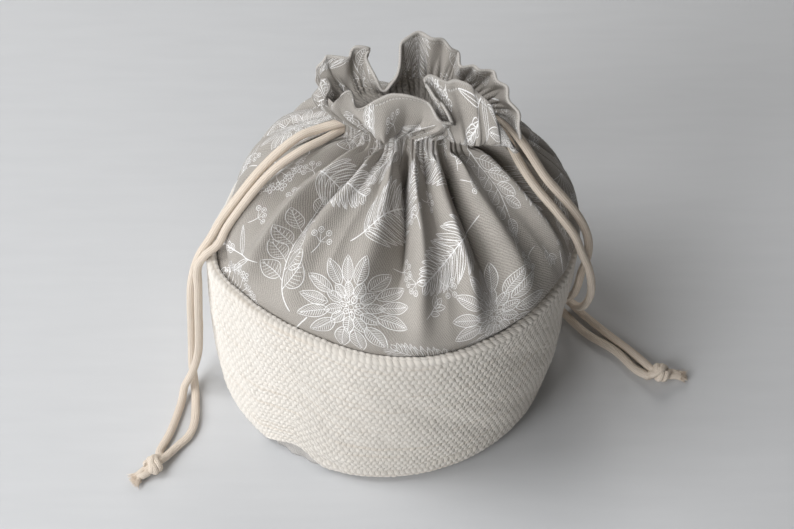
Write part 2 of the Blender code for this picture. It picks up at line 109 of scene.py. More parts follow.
LEFT_CORD = (
    (-122, -80.5, 4), (-117, -73.5, 2.6), (-111.5, -66.5, 2.4), (-109, -57, 2.4),
    (-109.5, -42, 2.5), (-110.5, -33, 3.2), (-111.5, -26, 12), (-110.5, -24, 29),
    (-108.5, -26, 53), (-107, -28, 73), (-104.5, -27.5, 93), (-99.5, -27, 110),
    (-93, -24.5, 121), (-85.5, -20.5, 133.5), (-76, -17, 147), (-66.5, -12.5, 158.5),
    (-56, -7, 167.5), (-45, -1.3, 173.5), (-34.5, 3.2, 174.5), (-23, 6, 176.4),
    (-19, 7.5, 176.2), (-13.5, 9.8, 175.3), (-5, 13.6, 173.7), (5, 15.6, 173), (15.5, 16, 173),
    (26, 14.4, 173), (34, 11, 173), (37, 6, 173), (34, 1, 173),
    (26, -2.6, 173), (15.5, -4, 173), (3, -3.4, 173), (-5, -1.4, 172.9),
    (-13.5, 4, 171.8), (-19, 6.3, 171.2), (-23, 6, 171.2), (-33, -1.6, 171.5), (-43.5, -8, 170.5),
    (-55, -13.3, 165), (-65, -18, 156.5), (-74.5, -22.5, 145), (-83, -26, 132.5),
    (-88.5, -29, 122), (-95.5, -31.5, 116), (-100, -33, 108), (-101, -34, 93),
    (-102.5, -34, 73), (-104, -32.5, 53), (-106.5, -31, 31), (-111, -33, 16),
    (-115.5, -36.5, 8), (-117, -42, 3), (-118.5, -50, 2.4), (-122, -64.5, 2.5),
    (-126.5, -76, 2.4), (-126.5, -82.5, 4),
)
RIGHT_CORD = (
    (148.4, -21.2, 4.2), (143.5, -13.5, 2.6), (137, -6, 2.4), (127.5, 3.5, 2.4),
    (112.5, 19.9, 2.4), (107, 26.5, 3), (104.5, 26, 7), (105.5, 16, 17),
    (106, 0, 34), (107, -16, 55), (108, -25, 74), (107, -30.5, 91),
    (104, -32.5, 107), (99.5, -32, 119), (94.5, -31, 132), (85, -27.5, 145.5),
    (74, -21, 157), (66, -13, 166), (60, -3, 172.5), (56.5, 3.2, 172.6),
    (52.5, 6, 173.6), (49, 5.2, 174.3), (44, 2.6, 175.8), (31, -3, 178.5), (15.5, -4, 178.5),
    (4, -2.8, 178.5),
    (-3, 1, 178.5), (-6, 6, 178.5), (-3, 11, 178.5), (4, 14.8, 178.5),
    (15.5, 16, 178.5), (31, 14, 178.6), (43, 9.8, 179), (49, 7, 179.2),
    (53, 6.2, 178.9), (58, 4, 178.4), (62.5, -0.5, 176.8), (70, -9, 171), (79, -17, 160), (89.5, -20.5, 147),
    (98, -22, 134), (103, -24, 121.5), (104, -25.5, 109), (102, -23.5, 92),
    (102, -17, 74), (101.5, -8, 55), (99, 8, 30), (98, 19, 12),
    (100.5, 21.5, 3.4), (108, 12, 2.4), (115.5, 3.6, 2.4), (129.5, -7.3, 2.4),
    (139.5, -20, 2.4), (145.5, -25.5, 3.6),
)
LEFT_VENT_X = -30.0 * MM
RIGHT_VENT_X = 62.0 * MM
LEFT_KNOT_LINE = ((-125.6, -85.3, 6.2), (-139.0, -96.0, 2.8))
RIGHT_KNOT_LINE = ((149.0, -24.9, 6.2), (167.5, -25.5, 2.8))

# Detail of the weave and the gathers
BUMPS_ROUND = 176
BUMP_ROWS = 31
BUMP_STEPS = 4
BUMP_HEIGHT = 0.65 * MM
RIM_RADIUS = 2.5 * MM
RIM_SLANT = 0.5
WEAVE_SLANT = 0.16
WEAVE_UNEVEN = 0.10
PANEL_COLUMNS = 440
CLOTH = 1.1 * MM
HEM_CLOTH = 1.6 * MM
CLOTH_WIDTH = 0.300


def smooth_step(low, high, value):
    share = np.clip((value - low) / (high - low), 0.0, 1.0)
    return share * share * (3.0 - 2.0 * share)


def mix(start, end, share):
    return start + (end - start) * share


def plan_radius(plan, angle):
    """Radius at these angles, from a smooth closed curve through the plan's points."""
    starts = np.array([place[0] for place in plan], float)
    radii = np.array([place[1] for place in plan], float)
    count = len(plan)
    degrees = np.degrees(angle) % 360.0
    index = np.searchsorted(starts, degrees, side="right") - 1
    before, start, end, after = (radii[(index + shift) % count] for shift in (-1, 0, 1, 2))
    share = (degrees - starts[index]) / ((starts[(index + 1) % count] - starts[index]) % 360.0)
    pull = 0.5 * (end - before)
    push = 0.5 * (after - start)
    cubic = 2.0 * start - 2.0 * end + pull + push
    square = 3.0 * end - 3.0 * start - 2.0 * pull - push
    return (((cubic * share + square) * share + pull) * share + start) * MM


def wall_radius(angle, height):
    share = height / BAND_HEIGHT
    return mix(BASE_RADIUS, plan_radius(RIM_PLAN, angle), share) + BAND_BELLY * np.sin(math.pi * share)


def band_radius(angle, height):
    below = np.clip(1.0 - height / TURN_RADIUS, 0.0, 1.0)
    return wall_radius(angle, height) - TURN_RADIUS * (1.0 - np.sqrt(1.0 - below * below))


def band_point(angle, radius, height):
    lean = 1.0 - height / BAND_HEIGHT
    x = BAND_LEAN[0] * lean + radius * np.cos(angle)
    y = BAND_LEAN[1] * lean + radius * np.sin(angle)
    return np.stack([x, y, height + 0.0 * x], axis=-1)


def edge_height(angle):
    """Height of the band's lower edge, which has ridden up at the front left."""
    degrees = np.degrees(angle) % 360.0
    places = [place[0] for place in LIFT_PLAN]
    heights = [place[1] for place in LIFT_PLAN]
    around = [np.interp(degrees + shift, places, heights) for shift in (-1.2, 0.0, 1.2)]
    return sum(around) / 3.0 * MM


def curve_points(points, spacing=None, count=None):
    """Evenly spaced points on a smooth curve through a route's own points."""
    route = np.array(points, float)
    ends = np.vstack([route[:1], route, route[-1:]])
    t = (np.arange(16) / 16.0)[:, None]
    fine = []
    for before, start, end, after in zip(ends, ends[1:], ends[2:], ends[3:]):
        pull = (end - before) * 0.5
        push = (after - start) * 0.5
        fine.append(
            start * (2 * t ** 3 - 3 * t ** 2 + 1) + pull * (t ** 3 - 2 * t ** 2 + t)
            + end * (3 * t ** 2 - 2 * t ** 3) + push * (t ** 3 - t ** 2)
        )
    fine = np.vstack(fine + [route[-1:]])
    steps = np.linalg.norm(np.diff(fine, axis=0), axis=1)
    lengths = np.concatenate([[0.0], np.cumsum(steps)])
    if count is None:
        count = max(2, int(round(lengths[-1] / spacing)))
    wanted = np.linspace(0.0, lengths[-1], count + 1)
    return np.stack([np.interp(wanted, lengths, fine[:, axis]) for axis in range(3)], axis=1)


def travel_along(points):
    """The way from the first point to each point of a line."""
    return np.concatenate([[0.0], np.cumsum(np.linalg.norm(np.diff(points, axis=0), axis=1))])


def outward_of(angle):
    return np.stack([np.cos(angle), np.sin(angle), 0.0 * angle], axis=-1)


def new_object(name, points, faces, material, uv=None, layers=(), wrap=None):
    """One mesh object from arrays, smooth shaded, with a UV map and named float values per point.

    wrap is (columns, period): U goes on round past the last column instead of running back to 0."""
    mesh = bpy.data.meshes.new(name)
    faces = faces.tolist() if hasattr(faces, "tolist") else faces
    mesh.from_pydata(points.reshape(-1, 3).tolist(), [], faces)
    mesh.update()
    if uv is not None:
        corners = np.empty(len(mesh.loops), dtype=np.int32)
        mesh.loops.foreach_get("vertex_index", corners)
        layer = mesh.uv_layers.new(name="UVMap")
        values = uv.reshape(-1, 2)[corners].astype(np.float32)
        if wrap is not None:
            column = corners % wrap[0]
            quads = column.reshape(-1, 4)
            closing = (quads.max(axis=1) == wrap[0] - 1) & (quads.min(axis=1) == 0)
            values[:, 0] += np.repeat(closing, 4) * (column == 0) * wrap[1]
        layer.data.foreach_set("uv", values.ravel())
    for label, values in layers:
        attribute = mesh.attributes.new(label, "FLOAT", "POINT")
        attribute.data.foreach_set("value", np.asarray(values, np.float32).ravel())
    mesh.shade_smooth()
    caps = {key for polygon in mesh.polygons if len(polygon.vertices) > 4 for key in polygon.edge_keys}
    for edge in mesh.edges if caps else ():
        edge.use_edge_sharp = edge.key in caps
    item = bpy.data.objects.new(name, mesh)
    bpy.context.scene.collection.objects.link(item)
    mesh.materials.append(material)
    return item


def grid_faces(rows, columns, start=0, wrap=False, flip=False):
    """Quads of a grid of points in rows. A wrapped grid joins its last column to its first."""
    row, column = np.meshgrid(np.arange(rows - 1), np.arange(columns if wrap else columns - 1), indexing="ij")
    right = (column + 1) % columns
    quads = np.stack(
        [
            row * columns + column, row * columns + right,
            (row + 1) * columns + right, (row + 1) * columns + column,
        ],
        axis=-1,
    ).reshape(-1, 4) + start
    return quads[:, ::-1] if flip else quads


def grid_normals(points, wrap=False):
    """Unit normals of a grid of points."""
    if wrap:
        across = np.roll(points, -1, axis=1) - np.roll(points, 1, axis=1)
    else:
        across = np.gradient(points, axis=1)
    up = np.gradient(points, axis=0)
    normal = np.cross(across, up)
    return normal / np.maximum(np.linalg.norm(normal, axis=-1, keepdims=True), 1e-12)


class Graph:
    """Short calls for the nodes of one material."""

    def __init__(self, name, roughness=0.9):
        self.material = bpy.data.materials.new(name)
        self.material.use_nodes = True
        self.tree = self.material.node_tree
        self.shader = self.tree.nodes["Principled BSDF"]
        self.shader.inputs["Roughness"].default_value = roughness

    def put(self, socket, value):
        if isinstance(value, bpy.types.NodeSocket):
            self.tree.links.new(value, socket)
        else:
            socket.default_value = value

    def node(self, kind, output=0, settings=(), **inputs):
        node = self.tree.nodes.new(kind)
        for label, value in dict(settings).items():
            setattr(node, label, value)
        for label, value in inputs.items():
            self.put(node.inputs[label.replace("_", " ")], value)
        return node.outputs[output]

    def math(self, operation, first, second=0.0, third=0.0, clamp=False):
        node = self.tree.nodes.new("ShaderNodeMath")
        node.operation = operation
        node.use_clamp = clamp
        for socket, value in zip(node.inputs, (first, second, third)):
            self.put(socket, value)
        return node.outputs[0]

    def add(self, first, second):
        return self.math("ADD", first, second)

    def sub(self, first, second):
        return self.math("SUBTRACT", first, second)

    def mul(self, first, second):
        return self.math("MULTIPLY", first, second)

    def less(self, value, edge, soft=0.12):
        """1 where value is under edge, with a soft step. The edge may be another value."""
        if isinstance(edge, bpy.types.NodeSocket):
            return self.span(self.sub(value, edge), soft, -soft)
        return self.span(value, edge + soft, edge - soft)

    def span(self, value, low, high):
        """Value mapped from low..high to 0..1, smoothly and clamped."""
        node = self.tree.nodes.new("ShaderNodeMapRange")
        node.interpolation_type = "SMOOTHSTEP"
        for label, setting in (("Value", value), ("From Min", low), ("From Max", high)):
            self.put(node.inputs[label], setting)
        return node.outputs[0]

    def blend(self, share, first, second):
        node = self.tree.nodes.new("ShaderNodeMix")
        node.data_type = "RGBA"
        self.put(node.inputs[0], share)
        for socket, colour in ((node.inputs[6], first), (node.inputs[7], second)):
            self.put(socket, (*colour, 1.0) if isinstance(colour, tuple) and len(colour) == 3 else colour)
        return node.outputs[2]

    def value(self, label):
        node = self.tree.nodes.new("ShaderNodeAttribute")
        node.attribute_name = label
        return node.outputs["Fac"]

    def bump(self, height, distance, strength=1.0):
        node = self.tree.nodes.new("ShaderNodeBump")
        node.inputs["Strength"].default_value = strength
        node.inputs["Distance"].default_value = distance
        self.put(node.inputs["Height"], height)
        self.put(self.shader.inputs["Normal"], node.outputs[0])

    def colour(self, value):
        self.put(self.shader.inputs["Base Color"], value)

    def uv(self):
        node = self.tree.nodes.new("ShaderNodeUVMap")
        node.uv_map = "UVMap"
        split = self.tree.nodes.new("ShaderNodeSeparateXYZ")
        self.tree.links.new(node.outputs[0], split.inputs[0])
        return node.outputs[0], split.outputs[0], split.outputs[1]

    def noise(self, vector, scale, detail=3.0, roughness=0.5):
        return self.node(
            "ShaderNodeTexNoise", 0, Vector=vector, Scale=scale, Detail=detail, Roughness=roughness,
        )


# Camera
camera_data = bpy.data.cameras.new("camera")
FOCAL_PIXELS = 1800.0
PICTURE_WIDTH = 794.0
SENSOR_WIDTH = 36.0
camera_data.lens = FOCAL_PIXELS * SENSOR_WIDTH / PICTURE_WIDTH
camera_data.sensor_width = SENSOR_WIDTH
camera = bpy.data.objects.new("camera", camera_data)
camera.location = (0.004, -0.6356, 0.8284)
camera.rotation_euler = (math.radians(40.0), 0.0, 0.0)
bpy.context.scene.collection.objects.link(camera)
bpy.context.scene.camera = camera


def cord_material():
    """Soft knitted cotton: fine stitches that run along the cord. UVs are in millimetres."""
    graph = Graph("cotton_cord", 0.85)
    vector, along, around = graph.uv()
    lean = graph.math("ABSOLUTE", graph.sub(graph.math("FRACT", graph.mul(around, 0.5)), 0.5))
    stitch = graph.math("SINE", graph.mul(graph.add(along, graph.mul(lean, 1.6)), WAVE / 0.9))
    rib = graph.math("SINE", graph.mul(around, WAVE / 1.0))
    height = graph.add(graph.mul(stitch, 0.5), graph.mul(rib, 0.5))
    cloud = graph.noise(vector, 0.12, 4.0)
    pale = graph.blend(cloud, (0.88, 0.785, 0.68), (0.82, 0.715, 0.60))
    # Painted shade: the colour darkens where the stitch relief is low, in the gaps between the stitches.
    graph.colour(graph.blend(graph.span(height, 0.3, -1.0), pale, (0.70, 0.585, 0.475)))
    graph.bump(height, 0.00025, 0.7)
    graph.shader.inputs["Sheen Weight"].default_value = 0.15
    return graph.material


CORD = cord_material()


def frames_along(path):
    """Sideways and upward unit vectors for each point of a path, without twist."""
    along = np.gradient(path, axis=0)
    along /= np.linalg.norm(along, axis=1, keepdims=True)
    side = np.cross(along[0], (0.0, 0.0, 1.0))
    if np.linalg.norm(side) < 0.1:
        side = np.cross(along[0], (0.0, 1.0, 0.0))
    sides = []
    for direction in along:
        side = side - direction * np.dot(side, direction)
        side = side / np.linalg.norm(side)
        sides.append(side)
    sides = np.array(sides)
    return along, sides, np.cross(sides, along)


def tube(name, path, radius, material, sides=16, flat=0.05, keep=(0, None)):
    """A capped, slightly flattened tube along part of a path, with UVs in millimetres."""
    _, side, up = frames_along(path)
    turn = np.linspace(0.0, 2.0 * math.pi, sides, endpoint=False)
    steps = travel_along(path)
    angle = turn[None, :] + 0.0 * steps[:, None]
    size = radius * (1.0 + 0.02 * np.sin(steps / 0.0041) * np.sin(steps / 0.0173))[:, None]
    across = size * (1.0 + flat) * np.cos(angle)
    deep = size * (1.0 - flat) * np.sin(angle)
    points = path[:, None, :] + side[:, None, :] * across[..., None] + up[:, None, :] * deep[..., None]
    girth = 2.0 * math.pi * CORD_DIAMETER / 2.0 / MM
    uv = np.stack(np.broadcast_arrays(steps[:, None] / MM, turn[None, :] / (2 * math.pi) * girth), axis=-1)
    points, uv = points[slice(*keep)], uv[slice(*keep)]
    rows, columns = points.shape[:2]
    faces = grid_faces(rows, columns, wrap=True).tolist()
    faces.append(list(range(columns))[::-1])
    faces.append([(rows - 1) * columns + index for index in range(columns)])
    return new_object(name, points, faces, material, uv)


# Height over which a cord counts as inside the casing
CASING_LOWEST = 0.168


def make_cord(side_name, route, vent_x, node):
    """One drawcord as two free strands and the ring that runs in the casing between them."""
    path = curve_points([tuple(value * MM for value in point) for point in route], spacing=1.4 * MM)
    inside = np.flatnonzero((path[:, 0] > vent_x) if vent_x < 0 else (path[:, 0] < vent_x))
    inside = inside[path[inside, 2] > CASING_LOWEST]
    first, last = int(inside[0]), int(inside[-1])
    parts = {
        "ring": ((first, last + 1), None),
        "a": ((0, first + 1), path[:first + 1][::-1]),
        "b": ((last, len(path)), path[last:]),
    }
    for label, (keep, line) in parts.items():
        item = tube(side_name + "_cord_" + label, path, CORD_DIAMETER / 2.0, CORD, keep=keep)
        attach(item, "root")
        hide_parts(node)
    return path


left_path = make_cord("left", LEFT_CORD, LEFT_VENT_X, "left_drawcord")
right_path = make_cord("right", RIGHT_CORD, RIGHT_VENT_X, "right_drawcord")
cord_tree = kdtree.KDTree(len(left_path) + len(right_path))
for index, point in enumerate(np.vstack([left_path, right_path])):
    cord_tree.insert(point, index)
cord_tree.balance()


def knot_piece(name, line, seed, route):
    """An overhand knot of the two cord ends, wound round themselves, with short frayed tails."""
    start = np.array(line[0]) * MM
    end = np.array(line[1]) * MM
    along = (end - start) / np.linalg.norm(end - start)
    side = np.cross(along, (0.0, 0.0, 1.0))
    side /= np.linalg.norm(side)
    up = np.cross(side, along)
    reach = np.linalg.norm(end - start)
    t = np.linspace(0.0, 1.0, 90)
    shapes = []
    wound = []
    for value in t:
        angle = 2.0 * math.pi * (2.1 * value) + 0.6
        place = start + along * reach * (0.10 + 0.30 * value)
        girth = (3.1 + 0.5 * math.sin(math.pi * value)) * MM
        wound.append(place + side * girth * math.cos(angle) + up * girth * 0.8 * math.sin(angle))
    shapes.append((np.array(wound), 2.15 * MM))
    bridge = [start + along * reach * share + side * across * MM + up * high * MM for share, across, high in (
        (-0.02, 2.0, -0.6), (0.08, 2.4, 1.2), (0.22, 1.0, 3.6),
        (0.36, -2.2, 1.8), (0.42, -1.0, -0.8), (0.5, 0.6, -0.6),
    )]
    shapes.append((curve_points(bridge, count=40), 2.1 * MM))
    for tip, inner in ((route[0], route[6]), (route[-1], route[-7])):
        heading = (tip - inner) / np.linalg.norm(tip - inner)
        entry = [tip - heading * 3.0 * MM, tip, tip + heading * 1.5 * MM, start + along * reach * 0.14]
        shapes.append((curve_points(entry, count=24), 0.5 * CORD_DIAMETER * 1.01))
    core = [start + along * reach * share for share in (0.0, 0.2, 0.4, 0.55)]
    shapes.append((curve_points(core, count=20), 2.6 * MM))
    for offset in (-1.0, 1.0):
        bends = ((0.42, 0.9, -0.2), (0.55, 1.5, -0.2), (0.7, 1.2, 0.1), (0.86, 0.5 + 0.6 * offset, -0.1))
        tail = [
            start + along * reach * share + side * across * offset * MM + up * high * MM
            for share, across, high in bends
        ]
        shapes.append((curve_points(tail, count=24), 1.9 * MM))
    points, faces, uvs = [], [], []

    def add_strand(path, size, sides, lowest=-math.inf, girth=0.0):
        """A capped round strand along a path. It stays above lowest; girth is its width in UVs."""
        start = sum(len(ring) for ring in points)
        turn = np.linspace(0.0, 2.0 * math.pi, sides, endpoint=False)
        _, across, high = frames_along(path)
        cosine, sine = np.cos(turn)[None, :, None], np.sin(turn)[None, :, None]
        ring = path[:, None] + (across[:, None] * cosine + high[:, None] * sine) * size[:, None, None]
        ring[..., 2] = np.maximum(ring[..., 2], lowest)
        points.append(ring.reshape(-1, 3))
        rows = len(path)
        faces.extend(grid_faces(rows, sides, start=start, wrap=True).tolist())
        faces.append([start + index for index in range(sides)][::-1])
        faces.append([start + (rows - 1) * sides + index for index in range(sides)])
        steps = travel_along(path) / MM * (girth > 0.0)
        uv = np.stack(np.broadcast_arrays(steps[:, None], turn[None, :] / (2 * math.pi) * girth), axis=-1)
        uvs.append(uv.reshape(-1, 2))

    for path, radius in shapes:
        add_strand(path, radius * np.ones(len(path)), 14, 0.25 * MM, 14.0)
    chance = np.random.default_rng(seed)
    for _ in range(130):
        spot = start + along * reach * (0.80 + 0.05 * chance.random())
        spot = spot + side * chance.normal(0.0, 1.3) * MM + up * chance.normal(0.0, 0.7) * MM
        aim = along * (3.2 + 2.2 * chance.random())
        aim = aim + side * chance.normal(0.0, 1.5) + up * chance.normal(-0.4, 0.6)
        fibre = np.array([spot, spot + aim * 0.55 * MM, spot + (aim + side * chance.normal(0.0, 0.7)) * MM])
        fibre[:, 2] = np.maximum(fibre[:, 2], 0.4 * MM)
        fibre = curve_points(fibre, count=6)
        add_strand(fibre, np.linspace(0.22, 0.10, len(fibre)) * MM, 4)
    return new_object(name, np.vstack(points), faces, CORD, np.vstack(uvs))


for name, line, seed, route in (
    ("left_knot_tied", LEFT_KNOT_LINE, 11, left_path), ("right_knot_tied", RIGHT_KNOT_LINE, 12, right_path),
):
    item = knot_piece(name, line, seed, route)
    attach(item, "root")
    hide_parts(name.replace("_tied", ""))


def band_material():
    """Cream cotton yarn. The bumps are read from the UVs, one unit to each bump and row."""
    graph = Graph("woven_cotton", 0.95)
    graph.shader.inputs["Diffuse Roughness"].default_value = 1.0
    vector, around, up = graph.uv()
    row = graph.math("FLOOR", up)
    above = graph.sub(graph.sub(up, row), 0.5)
    rim = graph.math("GREATER_THAN", up, float(BUMP_ROWS))
    odd = graph.math("MODULO", row, 2.0)
    lean = graph.mul(graph.mul(above, graph.sub(1.0, graph.mul(odd, 2.0))), WEAVE_SLANT)
    stagger = graph.add(graph.mul(odd, 0.5), lean)
    slant = graph.add(graph.mul(above, RIM_SLANT), graph.mul(graph.sub(row, float(BUMP_ROWS)), 0.25))
    column = graph.add(around, graph.add(
        graph.mul(stagger, graph.sub(1.0, rim)), graph.mul(slant, rim)))
    number = graph.math("FLOOR", graph.add(column, 0.5))
    across = graph.sub(column, number)
    place = graph.node("ShaderNodeCombineXYZ", 0, X=number, Y=row)
    chance = graph.tree.nodes.new("ShaderNodeTexWhiteNoise")
    chance.noise_dimensions = "2D"
    graph.put(chance.inputs["Vector"], place)
    size = graph.add(graph.mul(chance.outputs["Value"], 0.5), 0.62)
    wide = graph.math("DIVIDE", across, 0.54)
    high = graph.math("DIVIDE", above, 0.56)
    bump = graph.mul(
        graph.math("MAXIMUM", graph.sub(1.0, graph.mul(wide, wide)), 0.0),
        graph.math("MAXIMUM", graph.sub(1.0, graph.mul(high, high)), 0.0),
    )
    bump = graph.mul(graph.math("POWER", bump, 0.6), size)
    strand = graph.math("SINE", graph.mul(graph.add(across, graph.mul(above, 0.5)), WAVE * 3.0))
    cloud = graph.noise(vector, 0.22, 3.0)
    fuzz = graph.noise(vector, 5.0, 4.0, 0.65)
    pale = graph.blend(cloud, (0.80, 0.77, 0.725), (0.735, 0.70, 0.65))
    pale = graph.blend(graph.mul(chance.outputs["Value"], 0.35), pale, (0.76, 0.715, 0.655))
    rows_apart = graph.node("ShaderNodeMapping", 0, Vector=vector, Scale=(0.05, 1.3, 1.0))
    streak = graph.span(graph.noise(rows_apart, 1.0, 2.0), 0.52, 0.72)
    pale = graph.blend(graph.mul(streak, 0.6), pale, (0.69, 0.625, 0.545))
    # Painted shade: the yarn colour darkens in the gaps between the bumps, where the relief is low.
    painted_gap_shade = graph.span(bump, 0.36, 0.0)
    graph.colour(graph.blend(graph.mul(painted_gap_shade, 0.75), pale, (0.50, 0.445, 0.385)))
    relief = graph.add(bump, graph.add(graph.mul(strand, 0.05), graph.mul(fuzz, 0.35)))
    graph.bump(relief, 0.0008, 0.7)
    return graph.material


def uneven(chance, level, place):
    """A small random shift for each bump, smoothed between them."""
    grid = chance.normal(0.0, WEAVE_UNEVEN, (BUMP_ROWS + 4, BUMPS_ROUND))
    row, column = np.floor(level).astype(int), np.floor(place).astype(int)
    rise, part = level - row, (place - column)[None, :]
    following = (column + 1) % BUMPS_ROUND
    below = mix(grid[row, column[None, :]], grid[row, following[None, :]], part)
    above = mix(grid[row + 1, column[None, :]], grid[row + 1, following[None, :]], part)
    return mix(below, above, rise)


# Slow unevenness of the wall: waves round it, waves up it, size in mm, phase
BAND_WAVES = (
    (3, 1.0, 0.5, 1.0), (7, 2.0, 0.35, 0.3), (12, 1.5, 0.25, 2.0), (17, 3.0, 0.2, 4.0), (25, 5.0, 0.16, 0.7),
)


def build_band():
    """The woven wall with its full grid of staggered bumps, the roped rim and the plain inside."""
    columns = BUMPS_ROUND * BUMP_STEPS
    angle = np.arange(columns) * 2.0 * math.pi / columns
    edge = edge_height(angle)
    lift = smooth_step(0.0, 6.0 * MM, edge)
    shoulder = BAND_HEIGHT - RIM_RADIUS
    rows = BUMP_ROWS * BUMP_STEPS
    base = []
    bump_row = []
    for row in range(rows + 1):
        height = mix(edge, shoulder, row / rows)
        base.append(band_point(angle, band_radius(angle, height), height))
        bump_row.append(row / BUMP_STEPS)
    top_radius = wall_radius(angle, BAND_HEIGHT)
    arc_steps = 10
    for step in range(1, arc_steps + 1):
        turn = math.pi * step / arc_steps
        radius = top_radius - RIM_RADIUS + RIM_RADIUS * math.cos(turn)
        base.append(band_point(angle, radius, shoulder + RIM_RADIUS * math.sin(turn) + 0.0 * angle))
        bump_row.append(BUMP_ROWS + 2.0 * step / arc_steps)
    outer_rows = len(base)
    middle = 0.5 * BAND_HEIGHT
    base.append(band_point(angle, wall_radius(angle, middle) - BAND_WALL, middle + 0.0 * angle))
    low = np.maximum(edge, TURN_RADIUS) + 1.0 * MM
    base.append(band_point(angle, wall_radius(angle, low) - BAND_WALL, low))
    foot = band_radius(angle, edge) - mix(FOOT_WIDTH, BAND_WALL, lift)
    base.append(band_point(angle, foot, edge + BAND_WALL * (1.0 - lift) * 0.9))
    base.append(band_point(angle, foot, edge))
    points = np.array(base)
    normal = grid_normals(points, wrap=True)

    place = np.arange(columns) / BUMP_STEPS
    chance = np.random.default_rng(7)
    level = np.array(bump_row)[:, None]
    drift = 0.2 * np.sin(place[None, :] / 5.6 + 0.21 * level) + uneven(chance, level, place)
    fade = np.clip(BUMP_ROWS - level, 0.0, 1.0) * np.clip(level, 0.0, 1.0)
    level = level + fade * uneven(chance, level, place)
    row_number = np.minimum(np.floor(level + 1e-6), BUMP_ROWS + 1)
    across_row = level - row_number - 0.5
    rim = row_number >= BUMP_ROWS
    row_index = row_number.astype(int)
    leaning = WEAVE_SLANT * across_row * (1.0 - 2.0 * (row_number % 2))
    stagger = np.where(
        rim, 0.25 * (row_number - BUMP_ROWS) + RIM_SLANT * across_row, 0.5 * (row_number % 2) + leaning)
    column = place[None, :] + drift + stagger
    number = np.round(column).astype(int) % BUMPS_ROUND
    sizes = np.clip(1.0 + 0.14 * chance.normal(0.0, 1.0, (BUMP_ROWS + 4, BUMPS_ROUND)), 0.6, 1.3)
    across_bump = column - np.round(column)
    shape = (1.0 - (across_bump / 0.56) ** 2) * (1.0 - (across_row / 0.60) ** 2)
    shape = np.clip(shape, 0.0, 1.0) ** 0.8 * sizes[row_index, number]
    height_map = shape * BUMP_HEIGHT
    height_map[:-10] += chance.normal(0.0, 0.07 * MM, BUMP_ROWS + 4)[row_index[:-10]]
    height_map[0] *= 0.2
    points[:outer_rows] += normal[:outer_rows] * height_map[..., None]
    wall_rows = outer_rows - arc_steps
    level_share = np.arange(wall_rows)[:, None] / wall_rows
    swell = 0.0
    for times, rises, size, phase in BAND_WAVES:
        wave = np.sin(times * angle[None, :] + rises * 2.0 * math.pi * level_share + phase)
        swell = swell + size * MM * wave
    swell = swell * np.sin(math.pi * level_share) ** 0.7
    crease_height = (13.5 + 1.5 * np.sin(5.0 * angle)) * MM
    heights = points[:wall_rows, :, 2]
    crease = np.exp(-((heights - crease_height) / (2.3 * MM)) ** 2)
    around_front = smooth_step(math.radians(244), math.radians(262), angle)
    around_front = around_front * smooth_step(math.radians(318), math.radians(292), angle)
    swell = swell - 1.3 * MM * crease * (0.25 + 0.75 * around_front)[None, :]
    points[:wall_rows] += normal[:wall_rows] * swell[..., None]
    points[..., 2] = np.maximum(points[..., 2], 0.0)

    total = len(points)
    here = np.arange(columns)
    following = (here + 1) % columns
    last = (total - 1) * columns
    seam = np.stack([last + here, last + following, following, here], axis=-1)
    faces = np.vstack([grid_faces(total, columns, wrap=True), seam])
    warp = np.zeros((total, columns))
    warp[:outer_rows] = drift
    uv = np.stack(np.broadcast_arrays(place[None, :] + warp, np.arange(total)[:, None] / BUMP_STEPS), axis=-1)
    uv[:outer_rows, :, 1] = level
    item = new_object("band_weave", points, faces, band_material(), uv, wrap=(columns, float(BUMPS_ROUND)))
    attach(item, "root")
    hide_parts("woven_band")


build_band()


def cloth_tone(graph, vector, across, up, pale, dark):
    """Colour and weave height of a fine twill. UVs are in millimetres."""
    loose = graph.noise(vector, 0.35, 2.0)
    slope = graph.add(graph.add(across, graph.mul(up, 0.7)), graph.mul(loose, 1.4))
    rib = graph.math("SINE", graph.mul(slope, WAVE / 1.25))
    weft = graph.math("SINE", graph.mul(up, WAVE / 0.9))
    speck = graph.noise(vector, 2.2, 3.0, 0.75)
    cloud = graph.noise(vector, 0.08, 4.0)
    weave = graph.add(graph.mul(rib, 0.5), graph.mul(graph.mul(rib, weft), 0.3))
    grain = graph.add(graph.span(speck, 0.3, 0.72), graph.mul(weave, -0.62))
    tone = graph.blend(graph.math("MULTIPLY", grain, 1.0, clamp=True), pale, dark)
    tone = graph.blend(graph.mul(graph.span(cloud, 0.4, 0.75), 0.3), tone, dark)
    return tone, graph.add(graph.mul(weave, 0.8), speck)


# The hem's stitches, in millimetres: how far from the edge, and one stitch with its gap
HEM_STITCH = 2.6
STITCH_LENGTH = 2.6


def printed_material():
    """Taupe cotton, with a row of stitches near its hem."""
    graph = Graph("printed_cotton", 0.92)
    graph.shader.inputs["Diffuse Roughness"].default_value = 0.4
    vector, across, up = graph.uv()
    tone, weave = cloth_tone(graph, vector, across, up, (0.545, 0.51, 0.468), (0.325, 0.30, 0.272))
    hem = graph.value("hem")
    line = graph.less(graph.math("ABSOLUTE", graph.sub(hem, HEM_STITCH)), 0.35)
    edge = graph.less(hem, 0.9, 0.4)
    place = graph.math("FRACT", graph.mul(across, 1.0 / STITCH_LENGTH))
    dash = graph.span(graph.math("ABSOLUTE", graph.sub(place, 0.5)), 0.42, 0.36)
    stitch = graph.mul(line, dash)
    tone = graph.blend(graph.mul(edge, 0.35), tone, (0.78, 0.76, 0.73))
    # Painted shade: the groove along the stitch line is darkened, and the lighter stitches lie over it.
    tone = graph.blend(graph.mul(line, 0.55), tone, (0.15, 0.135, 0.12))
    graph.colour(graph.blend(graph.mul(stitch, 0.8), tone, (0.70, 0.675, 0.64)))
    graph.bump(graph.sub(graph.mul(weave, 0.6), graph.mul(line, 1.5)), 0.0005, 0.8)
    graph.shader.inputs["Sheen Weight"].default_value = 0.08
    return graph.material


